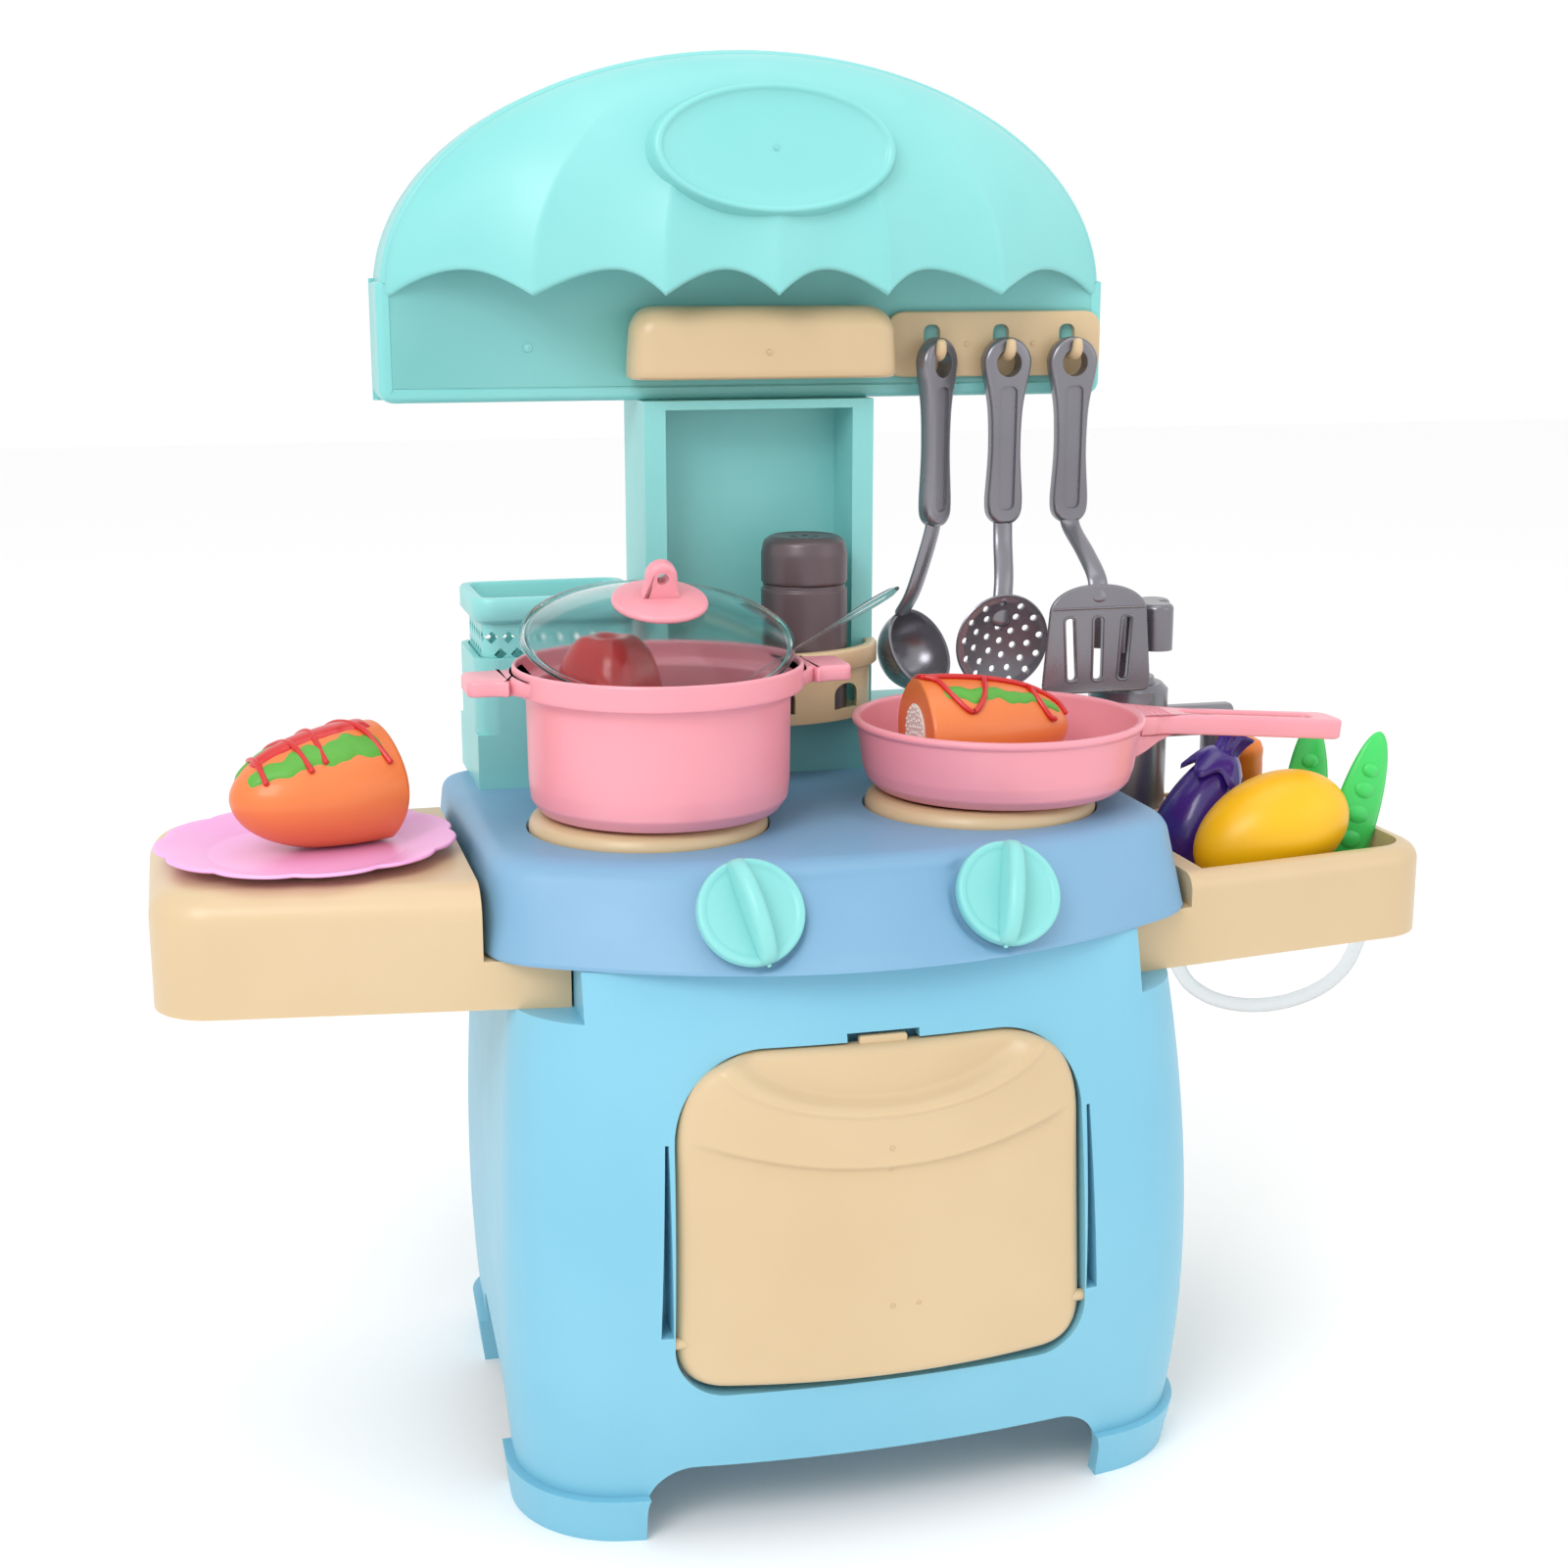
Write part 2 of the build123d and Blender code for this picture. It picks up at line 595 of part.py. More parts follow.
def awning(inset):
    """The bulging umbrella in front of the band, above the eaves."""
    radii = (166 - inset, 46 - inset, HEIGHT - EAVES - 2 - inset)
    dome = egg(radii, (0, CANOPY_FRONT, EAVES))
    keep = block(-200, 200, CANOPY_FRONT - 60, CANOPY_FRONT + 0.5, EAVES + 3 * inset, HEIGHT)
    return dome & keep


def canopy_front():
    """Umbrella canopy with a scalloped edge, open at the back."""
    flange = front_sketch(canopy_outline(0), CANOPY_FRONT, COVER_FRONT)
    inner = front_sketch(canopy_outline(WALL), CANOPY_FRONT + WALL, COVER_FRONT + 1)
    eave = awning(0)
    for left, right in zip(CUSPS, CUSPS[1:]):
        half = (right - left) / 2
        rise = 10
        radius = (half ** 2 + rise ** 2) / (2 * rise)
        cutter = Pos((left + right) / 2, EAVES + rise - radius) * Circle(radius)
        eave -= front_sketch(cutter, CANOPY_FRONT - 60, CANOPY_FRONT)
    badge = front_sketch(Pos(0, 556) * Ellipse(54, 28), 54, CANOPY_FRONT)
    eave += badge & egg((170, 48, 107), (0, CANOPY_FRONT, EAVES))
    room = awning(WALL + 2)
    canopy = flange + eave - inner - room - spigot(0.2)
    for boss in bosses(SCREW_SPOTS[4:8], CANOPY_FRONT + 1):
        canopy += boss
    return without_screws(canopy)


def canopy_back_cover():
    """The flat cover that closes the canopy behind."""
    return without_screws(front_sketch(canopy_outline(0), COVER_FRONT, BACK))


def range_hood():
    """A rounded hood on the canopy's band, hollow behind."""
    low = Pos(0, 0, 457) * rounded_plan(-61.6, 61.6, 66, 86, 7)
    high = Pos(0, 0, 488) * rounded_plan(-55, 55, 62, 86, 7)
    hood = loft([low, high], ruled=True) + block(-61.6, 61.6, 80, CANOPY_FRONT, 457, 480)
    room = block(-52, 52, 72, CANOPY_FRONT + 1, 460, 484)
    return hood - room


def hook_rail():
    """A plate with three J hooks beside the hood."""
    plate_plan = Pos(115.2, 471) * RectangleRounded(105.6, 30, 9)
    rail = front_sketch(plate_plan, CANOPY_FRONT - 3.5, CANOPY_FRONT)
    for x in HOOK_XS:
        rail += rod((x, 73, HOOK_Z), (x, CANOPY_FRONT - 1, HOOK_Z), PEG_RADIUS)
        rail += rod((x, 75.6, HOOK_Z), (x, 75.6, HOOK_Z + 8), PEG_RADIUS)
        rail -= block(x - 4, x + 4, CANOPY_FRONT - 4, CANOPY_FRONT + 1, HOOK_Z + 6, HOOK_Z + 13)
    return rail


RACK_LOW = 303.0
RACK_HEIGHT = 33.0
RACK_HALF_WIDTH = 55.0
RACK_DEPTH = 41.0


def spice_rack():
    """A half-round holder in front of the column, with arched cut-outs."""
    plan = Pos(0, COLUMN_FRONT) * Ellipse(RACK_HALF_WIDTH, RACK_DEPTH)
    room = Pos(0, COLUMN_FRONT) * Ellipse(RACK_HALF_WIDTH - WALL, RACK_DEPTH - WALL)
    front_half = Pos(0, COLUMN_FRONT - 50) * Rectangle(200, 100)
    outer = Pos(0, 0, RACK_LOW) * extrude(plan & front_half, amount=RACK_HEIGHT)
    inner = Pos(0, 0, RACK_LOW + WALL) * extrude(room & front_half, amount=RACK_HEIGHT)
    rack = outer - inner
    for x in (-33, 0, 33):
        rack -= front_sketch(Pos(x, 314) * SlotOverall(16, 12), 20, COLUMN_FRONT - 12)
    tail = block(-40, 40, COLUMN_FRONT, RECESS_BACK - 1, RACK_LOW, RACK_LOW + WALL)
    return rack + tail


# ---- loose pieces ----
def dish_basket():
    """The lattice basket that stands in the left bin and lifts out."""
    low, high = STOVE_TOP + WALL + GAP, 363.0
    x_low, x_high = BIN_LEFT + WALL + 1, BIN_RIGHT - WALL - 1
    y_low, y_high = PLINTH_FRONT + WALL + 1, COVER_FRONT - WALL - 1
    body = Pos(0, 0, low) * extrude(rounded_plan(x_low, x_high, y_low, y_high, 6), amount=high - low)
    rim = Pos(0, 0, high - 11) * extrude(rounded_plan(BIN_LEFT, BIN_RIGHT, PLINTH_FRONT, COVER_FRONT - 2, 10),
                                         amount=11)
    room = Pos(0, 0, low + 2) * extrude(rounded_plan(x_low + 2, x_high - 2, y_low + 2, y_high - 2, 5),
                                        amount=high)
    basket = body + rim - room
    for x in range(-120, -66, 15):
        window = Pos(x, 343) * Rot(0, 0, 45) * Rectangle(7.5, 7.5)
        basket -= front_sketch(window, PLINTH_FRONT - 1, COVER_FRONT)
    return basket


BOTTLE_X = 17.0
BOTTLE_Y = 69.0
BOTTLE_RADIUS = 19.8
BOTTLE_LOW = RACK_LOW + WALL + GAP
CAP_LOW = 365.0


def bottle_body():
    """The spice bottle."""
    r = BOTTLE_RADIUS
    shape = turned((0, BOTTLE_LOW), (r - 1.5, BOTTLE_LOW), (r, BOTTLE_LOW + 1.5), (r, CAP_LOW - 1),
                   (r - 1.2, CAP_LOW), (0, CAP_LOW))
    return Pos(BOTTLE_X, BOTTLE_Y, 0) * shape


def bottle_cap():
    """The bottle's domed shaker cap."""
    r = BOTTLE_RADIUS
    shape = turned((0, CAP_LOW), (r - 1.2, CAP_LOW), (r, CAP_LOW + 1), (r, CAP_LOW + 15),
                   (r - 2, CAP_LOW + 19.5), (r - 6, CAP_LOW + 22), (0, CAP_LOW + 22))
    return Pos(BOTTLE_X, BOTTLE_Y, 0) * shape


POT_X = -69.0
POT_Y = -14.0
POT_LOW = BURNER_TOP + 0.3


def pot():
    """The pot: straight wall, wide rim with a ledge for the lid, and two side handles."""
    wall = turned((0, POT_LOW), (44, POT_LOW), (51, POT_LOW + 3), (54.8, POT_LOW + 11), (54.8, 335),
                  (60.75, 335), (60.75, 346), (58.6, 346), (58.6, 337.5), (52.4, 337.5),
                  (52.4, POT_LOW + 11), (48, POT_LOW + 4), (0, POT_LOW + 3))
    handles = Pos(0, 0, 337) * extrude(rounded_plan(-81, 81, -13, 13, 6), amount=6)
    middle = Pos(0, 0, 330) * Cylinder(60, 40)
    return Pos(POT_X, POT_Y, 0) * (wall + (handles - middle))


LID_TILT = 16.5
LID_RADIUS = 57.4
LID_Z = 354.9


def lid_location():
    return Pos(POT_X, POT_Y, LID_Z) * Rot(LID_TILT, 0, 0)


def lid_dome(radius, height):
    """A spherical cap that stands on z 0."""
    ball = (radius ** 2 + height ** 2) / (2 * height)
    return Pos(0, 0, height - ball) * Sphere(ball) & block(-80, 80, -80, 80, 0, 80)


def pot_lid():
    """The clear domed lid, tipped forward on the pot's ledge."""
    return lid_location() * (lid_dome(LID_RADIUS, 16) - lid_dome(LID_RADIUS - 1.6, 14.4))


def lid_knob():
    """The lid's knob: a disc with an arched grip."""
    disc = Pos(0, 0, 16.2) * Cylinder(20, 3, align=(Align.CENTER, Align.CENTER, Align.MIN))
    grip = Pos(0, 0, 18.5) * Box(13, 8, 17, align=(Align.CENTER, Align.CENTER, Align.MIN))
    grip = fillet(grip.edges().filter_by(Axis.Y).group_by(Axis.Z)[-1], 6)
    eye = rod((0, -6, 28.5), (0, 6, 28.5), 2.6)
    return lid_location() * (disc + grip - eye)


def pot_pepper():
    """The red pepper that stands in the pot."""
    return egg((22, 22, 36), (-87, 1, POT_LOW + 3 + 37)) & block(-120, 0, -60, 60, POT_LOW + 4, 362)


SPOON_END = (39, 1, 370.0)
SPOON_TIP = (-66, -36, 325.0)


def spoon():
    """The clear spoon, leaning over the pot's rim."""
    start = Vector(*SPOON_END)
    end = Vector(*SPOON_TIP)
    handle = rod(tuple(start), tuple(end), 1.6)
    bowl = Plane(origin=end, z_dir=end - start).location * scale(Sphere(1), by=(4.5, 11, 16))
    return handle + bowl


PAN_X = 83.0
PAN_Y = -11.0
PAN_LOW = BURNER_TOP + 0.3
PAN_RIM = 315.0


def pan():
    """The frying pan, with a long slotted handle over the sink."""
    wall = turned((0, PAN_LOW), (48, PAN_LOW), (55, PAN_LOW + 3), (61.5, PAN_RIM - 3), (64, PAN_RIM - 3),
                  (64, PAN_RIM), (60, PAN_RIM), (53, PAN_LOW + 4.5), (47, PAN_LOW + 3), (0, PAN_LOW + 3))
    grip = Pos(0, 0, -8) * extrude(rounded_plan(-10, 104, -11, 11, 9), amount=8)
    slot = Pos(0, 0, -20) * extrude(rounded_plan(53, 97, -4.5, 4.5, 4.4), amount=30)
    grip = Pos(60, 0, PAN_RIM - 1) * Rot(0, 4.7, 0) * (grip - slot)
    middle = upright(0, 0, 280, 330, 58.6)
    return Pos(PAN_X, PAN_Y, 0) * (wall + (grip - middle))


def half_bun(length, width, height, turn, foot):
    """Half of a filled bun: one rounded end and a flat cut face, on a flat foot."""
    whole = egg((length, width / 2, height / 2), (0, 0, height / 2 - 2))
    kept = whole & block(0, length + 1, -width, width, 0, height)
    return Pos(*foot) * Rot(0, 0, turn) * kept


def velcro(width, height, turn, foot):
    """The fastener pad on a bun's cut face."""
    pad = rod((-1.4, 0, height / 2 - 2), (0, 0, height / 2 - 2), width / 4)
    return Pos(*foot) * Rot(0, 0, turn) * pad


PAN_BUN = dict(turn=0, foot=(47, PAN_Y + 5, PAN_LOW + 3.4))
PLATE_BUN = dict(turn=205, foot=(-184, 22, 270.8))
PLATE_X = -214.5
PLATE_Y = 7.0


def plate():
    """A shallow dish with a wide rim."""
    low = TRAY_TOP + 0.3
    shape = turned((0, low), (40, low), (62, low + 5), (62, low + 6.5), (40, low + 2), (0, low + 2))
    return Pos(PLATE_X, PLATE_Y, 0) * shape


# ---- utensils ----
EYE_RADIUS = 4.6
EYE_Z = HOOK_Z + PEG_RADIUS - EYE_RADIUS + 0.2


def utensil_handle(x, neck_end):
    """A flat handle with a hanging eye, from the hook down to the neck's lower end."""
    outline = Pos(x, EYE_Z) * Circle(10)
    outline += Pos(x, EYE_Z - 38) * RectangleRounded(16, 82, 7)
    outline -= Pos(x, EYE_Z) * Circle(EYE_RADIUS)
    handle = front_sketch(outline, 79, 85)
    neck = rod((x, 82, EYE_Z - 74), neck_end, 3)
    return handle + neck


def ladle():
    """The soup ladle."""
    bowl = Sphere(19) & Pos(0, 0, -11) * Box(60, 60, 22)
    bowl -= Sphere(17)
    bowl += rod((0, 17.8, 2), (0, 17.8, -3), 2.4)
    turned_bowl = Pos(75, 86, 328) * Rot(0, 0, -45) * Rot(50, 0, 0) * bowl
    return utensil_handle(HOOK_XS[0], (83.5, 94, 342.5)) + turned_bowl


def skimmer():
    """The round skimmer with drain holes."""
    x = HOOK_XS[1] - 8
    face = Pos(x, 334) * Circle(23)
    for ring_radius, count in ((6, 6), (12, 10), (18, 14)):
        for index in range(count):
            angle = 2 * pi * index / count
            spot = Pos(x + ring_radius * cos(angle), 334 + ring_radius * sin(angle))
            face -= spot * Circle(1.3)
    head = front_sketch(face, 62, 64.5)
    return utensil_handle(HOOK_XS[1], (x + 2, 63.5, 352)) + head


def spatula():
    """The slotted turner."""
    x = HOOK_XS[2]
    face = make_face(Polyline((x - 14, 361), (x - 27, 312), (x + 27, 312), (x + 14, 361), close=True))
    face = fillet(face.vertices(), 6)
    for offset in (-12, 0, 12):
        face -= Pos(x + offset, 332) * RectangleRounded(4.6, 30, 2.2)
    head = front_sketch(face, 40, 42.5)
    return utensil_handle(x, (x, 41.5, 354)) + head


# ---- toy food in the sink ----
EGGPLANT_PLACE = Pos(192, 20, 251) * Rot(0, 24, 0)


def eggplant():
    """A leaning eggplant."""
    body = egg((17, 17, 34), (0, 0, 0))
    return EGGPLANT_PLACE * body


def eggplant_calyx():
    """The calyx and stalk on the eggplant's top."""
    cap = turned((0, 34.2), (8, 34.2), (6, 38), (2.5, 39), (2.5, 45), (0, 45))
    return EGGPLANT_PLACE * cap


def mango():
    """A yellow mango lying along the basin."""
    return Pos(212, -20, 257) * Rot(0, -20, 0) * scale(Sphere(1), by=(38, 23, 25))


def pea_pod(x, y, lean):
    """One pea pod standing on end."""
    return Pos(x, y, SINK_FLOOR + 43) * Rot(0, lean, 0) * scale(Sphere(1), by=(11.5, 5, 40))


def carrot():
    """A stub of carrot behind the other vegetables."""
    return Pos(232, 45, SINK_FLOOR + 36) * Rot(0, -6, 0) * turned((0, -35), (4, -35), (10, 28), (6, 34), (0, 34))


def oven_shelf():
    """The oven's floor, a tray held between the cabinet walls."""
    shelf = block(-120, 120, -88, 80, 74, 77)
    room = cabinet_body(WALL + 0.5, 1, CABINET_TOP - WALL - 1)
    return shelf & room


# ---- write every node ----
shell = cabinet_shell()
front_half = block(-200, 200, -200, CABINET_SEAM, -5, 300)
back_half = block(-200, 200, CABINET_SEAM, 200, -5, 300)
save("cabinet_front_shell", shell & front_half)
save("cabinet_back_shell", without_screws(shell & back_half))
save("oven_shelf", oven_shelf())
save("oven_door", oven_door())
save("stove_top", stove_top())
for name, side, lean in (("left", -1, 12), ("right", 1, -12)):
    save(f"burner_{name}", burner(side))
    save(f"knob_{name}", knob(side, lean))
    save(f"knob_washer_{name}", knob_washer(side))
save("side_tray", side_tray())
save("sink_tray", sink_tray())
save("pump_nipple", hose_nipple(0))
save("drain_nipple", hose_nipple(-1))
save("hose", hose())
save("tap_body", tap_body())
save("tap_collar", tap_collar())
save("tap_spout", tap_spout())
save("tap_spring", tap_spring())
save("tap_plunger", tap_plunger())
save("tap_knob", tap_knob())
save("back_frame", back_frame())
save("column_back_cover", column_back_cover())
save("canopy_front", canopy_front())
save("canopy_back_cover", canopy_back_cover())
save("back_screws", Compound(children=screws()))
save("range_hood", range_hood())
save("hook_rail", hook_rail())
save("spice_rack", spice_rack())
save("dish_basket", dish_basket())
save("bottle_body", bottle_body())
save("bottle_cap", bottle_cap())
save("pot", pot())
save("pot_lid", pot_lid())
save("lid_knob", lid_knob())
save("pot_pepper", pot_pepper())
save("spoon", spoon())
save("pan", pan())
save("plate", plate())
save("pan_bun", half_bun(70, 50, 46, **PAN_BUN))
save("pan_bun_velcro", velcro(50, 46, **PAN_BUN))
save("plate_bun", half_bun(66, 54, 50, **PLATE_BUN))
save("plate_bun_velcro", velcro(54, 50, **PLATE_BUN))
save("ladle", ladle())
save("skimmer", skimmer())
save("spatula", spatula())
save("eggplant", eggplant())
save("eggplant_calyx", eggplant_calyx())
save("mango", mango())
save("pea_pod_front", pea_pod(259, -12, 15))
save("pea_pod_back", pea_pod(245, 11, 3))
save("carrot", carrot())
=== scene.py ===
"""Toy kitchen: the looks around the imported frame. Metres, +X right, +Y back, +Z up."""

import json
import math

import bmesh
import bpy
from mathutils import Matrix, Vector


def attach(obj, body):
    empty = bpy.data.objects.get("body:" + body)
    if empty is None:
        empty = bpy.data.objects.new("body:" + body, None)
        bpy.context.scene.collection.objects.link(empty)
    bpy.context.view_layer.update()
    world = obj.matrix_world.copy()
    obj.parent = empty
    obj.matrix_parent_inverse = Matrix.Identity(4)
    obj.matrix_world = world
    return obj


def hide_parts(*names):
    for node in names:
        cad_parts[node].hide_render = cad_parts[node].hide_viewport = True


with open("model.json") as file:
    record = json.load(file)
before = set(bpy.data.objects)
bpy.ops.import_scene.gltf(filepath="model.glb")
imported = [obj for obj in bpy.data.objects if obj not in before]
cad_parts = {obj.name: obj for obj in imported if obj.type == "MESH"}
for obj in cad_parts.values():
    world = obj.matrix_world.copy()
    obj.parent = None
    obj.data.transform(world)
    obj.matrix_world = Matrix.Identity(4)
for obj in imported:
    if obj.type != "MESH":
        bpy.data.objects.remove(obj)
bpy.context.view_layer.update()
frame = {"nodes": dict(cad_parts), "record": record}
NODES = frame["nodes"]
MM = 0.001


# ---------------------------------------------------------------- camera, floor and light
def make_camera():
    """The camera at the photograph's angle: to the left and above, looking down a little."""
    data = bpy.data.cameras.new("camera")
    data.sensor_width = 36
    data.lens = 51.72
    data.clip_end = 20
    camera = bpy.data.objects.new("camera", data)
    camera.location = (-0.2579, -0.9214, 0.5047)
    camera.rotation_euler = (math.radians(90 - 12.86), 0, math.radians(-15))
    bpy.context.scene.collection.objects.link(camera)
    bpy.context.scene.camera = camera


def area_light(name, place, target, size, power):
    """A soft box that looks at a target."""
    data = bpy.data.lights.new(name, "AREA")
    data.shape = "RECTANGLE"
    data.size = size[0]
    data.size_y = size[1]
    data.energy = power
    light = bpy.data.objects.new(name, data)
    light.location = place
    light.rotation_euler = (Vector(target) - Vector(place)).to_track_quat("-Z", "Y").to_euler()
    bpy.context.scene.collection.objects.link(light)


def make_stage():
    """White studio: pale floor, bright even surroundings and soft boxes."""
    scene = bpy.context.scene
    scene.view_settings.view_transform = "Standard"
    world = bpy.data.worlds.new("studio")
    world.use_nodes = True
    background = world.node_tree.nodes["Background"]
    background.inputs["Color"].default_value = (1, 1, 1, 1)
    background.inputs["Strength"].default_value = 1.0
    scene.world = world
    bpy.ops.mesh.primitive_plane_add(size=12)
    floor = bpy.context.object
    floor.name = "floor"
    paint = bpy.data.materials.new("floor_white")
    paint.use_nodes = True
    shader = paint.node_tree.nodes["Principled BSDF"]
    shader.inputs["Base Color"].default_value = (0.97, 0.97, 0.97, 1)
    shader.inputs["Roughness"].default_value = 0.9
    floor.data.materials.append(paint)
    area_light("key", (-1.1, -1.3, 1.6), (0, 0, 0.35), (0.9, 0.9), 16)
    area_light("fill", (1.5, -1.2, 1.0), (0, 0, 0.3), (1.2, 1.2), 3)
    area_light("top", (0.1, -0.2, 1.9), (0, 0, 0.3), (1.2, 0.8), 3)


# ---------------------------------------------------------------- materials
ALBEDO = 0.86    # plastics are this much darker than they look, because the studio is so bright


def linear(red, green, blue):
    """A screen colour, 0 to 255, as linear light."""
    out = []
    for value in (red, green, blue):
        value /= 255
        out.append(ALBEDO * (value / 12.92 if value <= 0.04045 else ((value + 0.055) / 1.055) ** 2.4))
    return (*out, 1)


def noise(material, place, scale, detail):
    """A noise texture laid over the piece's own coordinates."""
    texture = material.node_tree.nodes.new("ShaderNodeTexNoise")
    texture.inputs["Scale"].default_value = scale
    texture.inputs["Detail"].default_value = detail
    material.node_tree.links.new(place.outputs["Object"], texture.inputs["Vector"])
    return texture


def plastic(name, colour, shade, roughness, grain=0.00008, grain_scale=900, glow=0.0, coat=0.0, metal=0.0):
    """Moulded plastic: faint colour drift, uneven gloss and a fine moulded grain."""
    material = bpy.data.materials.new(name)
    material.use_nodes = True
    nodes = material.node_tree.nodes
    link = material.node_tree.links.new
    shader = nodes["Principled BSDF"]
    place = nodes.new("ShaderNodeTexCoord")
    drift = noise(material, place, 9, 3)
    ramp = nodes.new("ShaderNodeValToRGB")
    ramp.color_ramp.elements[0].position = 0.3
    ramp.color_ramp.elements[1].position = 0.7
    ramp.color_ramp.elements[0].color = linear(*shade)
    ramp.color_ramp.elements[1].color = linear(*colour)
    link(drift.outputs["Fac"], ramp.inputs["Fac"])
    link(ramp.outputs["Color"], shader.inputs["Base Color"])
    gloss = noise(material, place, 45, 4)
    spread = nodes.new("ShaderNodeMapRange")
    spread.inputs["To Min"].default_value = roughness - 0.04
    spread.inputs["To Max"].default_value = roughness + 0.06
    link(gloss.outputs["Fac"], spread.inputs["Value"])
    link(spread.outputs["Result"], shader.inputs["Roughness"])
    fine = noise(material, place, grain_scale, 2)
    bump = nodes.new("ShaderNodeBump")
    bump.inputs["Strength"].default_value = 0.35
    bump.inputs["Distance"].default_value = grain
    link(fine.outputs["Fac"], bump.inputs["Height"])
    link(bump.outputs["Normal"], shader.inputs["Normal"])
    shader.inputs["Specular IOR Level"].default_value = 0.5
    shader.inputs["Metallic"].default_value = metal
    shader.inputs["Coat Weight"].default_value = coat
    shader.inputs["Coat Roughness"].default_value = 0.08
    if glow:
        shader.inputs["Subsurface Weight"].default_value = glow
        shader.inputs["Subsurface Radius"].default_value = (0.004, 0.004, 0.004)
        shader.inputs["Subsurface Scale"].default_value = 1.0
    return material


def clear_plastic(name, colour, roughness, ior):
    """Clear moulded plastic with faint waviness."""
    material = plastic(name, colour, colour, roughness + 0.04, grain=0.0004, grain_scale=35)
    shader = material.node_tree.nodes["Principled BSDF"]
    shader.inputs["Transmission Weight"].default_value = 1
    shader.inputs["IOR"].default_value = ior
    return material


MATERIALS = {
    "mint_plastic": plastic("mint_plastic", (148, 224, 222), (134, 216, 214), 0.34, glow=0.15),
    "sky_plastic": plastic("sky_plastic", (136, 204, 228), (127, 197, 223), 0.38, glow=0.1),
    "stove_plastic": plastic("stove_plastic", (132, 180, 213), (122, 171, 207), 0.42, glow=0.1),
    "tan_plastic": plastic("tan_plastic", (224, 198, 158), (217, 190, 148), 0.33, glow=0.1),
    "pink_plastic": plastic("pink_plastic", (248, 166, 178), (244, 154, 168), 0.3, glow=0.12),
    "grey_plastic": plastic("grey_plastic", (152, 151, 158), (130, 128, 135), 0.27, metal=0.7),
    "bottle_plastic": plastic("bottle_plastic", (112, 98, 102), (92, 78, 83), 0.34, metal=0.4),
    "clear_plastic": clear_plastic("clear_plastic", (250, 252, 253), 0.03, 1.22),
    "clear_hose": clear_plastic("clear_hose", (240, 246, 248), 0.2, 1.2),
    "plate_plastic": plastic("plate_plastic", (254, 188, 240), (250, 172, 234), 0.32, glow=0.1),
    "bun_plastic": plastic("bun_plastic", (244, 138, 70), (232, 112, 46), 0.4, coat=0.2),
    "lettuce_plastic": plastic("lettuce_plastic", (104, 186, 66), (70, 158, 44), 0.42),
    "red_plastic": plastic("red_plastic", (222, 34, 34), (202, 18, 22), 0.28, coat=0.3),
    "velcro": plastic("velcro", (246, 244, 238), (226, 222, 214), 0.9, grain=0.0006, grain_scale=1400),
    "eggplant_plastic": plastic("eggplant_plastic", (74, 40, 158), (54, 26, 132), 0.25, coat=0.4),
    "mango_plastic": plastic("mango_plastic", (255, 200, 10), (250, 184, 0), 0.35),
    "pod_plastic": plastic("pod_plastic", (70, 224, 108), (50, 206, 88), 0.3, glow=0.1),
    "orange_plastic": plastic("orange_plastic", (244, 134, 46), (232, 112, 30), 0.35),
    "steel": plastic("steel", (190, 192, 196), (160, 162, 168), 0.3, metal=1.0),
}


# ---------------------------------------------------------------- looks of the CAD nodes
def dress_cad(angle=35):
    """Every CAD node gets its slot's material and smooth shading between gentle facets."""
    slots = {part["node"]: part["material_slot"] for part in frame["record"]["subparts"]}
    for name, node in NODES.items():
        node.data.materials.clear()
        node.data.materials.append(MATERIALS[slots[name]])
        for polygon in node.data.polygons:
            polygon.use_smooth = True
            polygon.material_index = 0
        node.data.set_sharp_from_angle(angle=math.radians(angle))


# ---------------------------------------------------------------- mesh helpers, all in millimetres
def mix(a, b, amount):
    return a + (b - a) * amount


def smooth(value):
    """0 below 0, 1 above 1, and an S-curve between."""
    value = min(max(value, 0), 1)
    return value * value * (3 - 2 * value)


def steps(low, high, count):
    """count + 1 even values from low to high."""
    return [mix(low, high, index / count) for index in range(count + 1)]


def corner_point(start, corner, end, t):
    """A point on the curve that rounds a corner: t is 0 at its start and 1 at its end."""
    return start * (1 - t) ** 2 + corner * 2 * t * (1 - t) + end * t * t


def round_off(points, radius, closed=True, count=6):
    """A polyline with every corner replaced by a curve that starts a radius before it."""
    out = []
    last = len(points) - 1
    for index, point in enumerate(points):
        here = Vector(point)
        if not closed and index in (0, last):
            out.append(tuple(here))
            continue
        before = Vector(points[index - 1])
        after = Vector(points[(index + 1) % len(points)])
        start = here + (before - here).normalized() * min(radius, (before - here).length * 0.49)
        end = here + (after - here).normalized() * min(radius, (after - here).length * 0.49)
        for t in steps(0, 1, count):
            out.append(tuple(corner_point(start, here, end, t)))
    return out


def divide(points, longest):
    """A closed outline with extra points so that no stretch is over a length."""
    out = []
    for index, point in enumerate(points):
        here = Vector(point)
        after = Vector(points[(index + 1) % len(points)])
        count = max(1, math.ceil((after - here).length / longest))
        out += [tuple(here.lerp(after, k / count)) for k in range(count)]
    return out


def inset(points, distance):
    """A closed, counter-clockwise outline moved inwards."""
    out = []
    for index, point in enumerate(points):
        here = Vector(point)
        along = Vector(points[(index + 1) % len(points)]) - Vector(points[index - 1])
        inward = Vector((-along.y, along.x)).normalized()
        out.append(tuple(here + inward * distance))
    return out


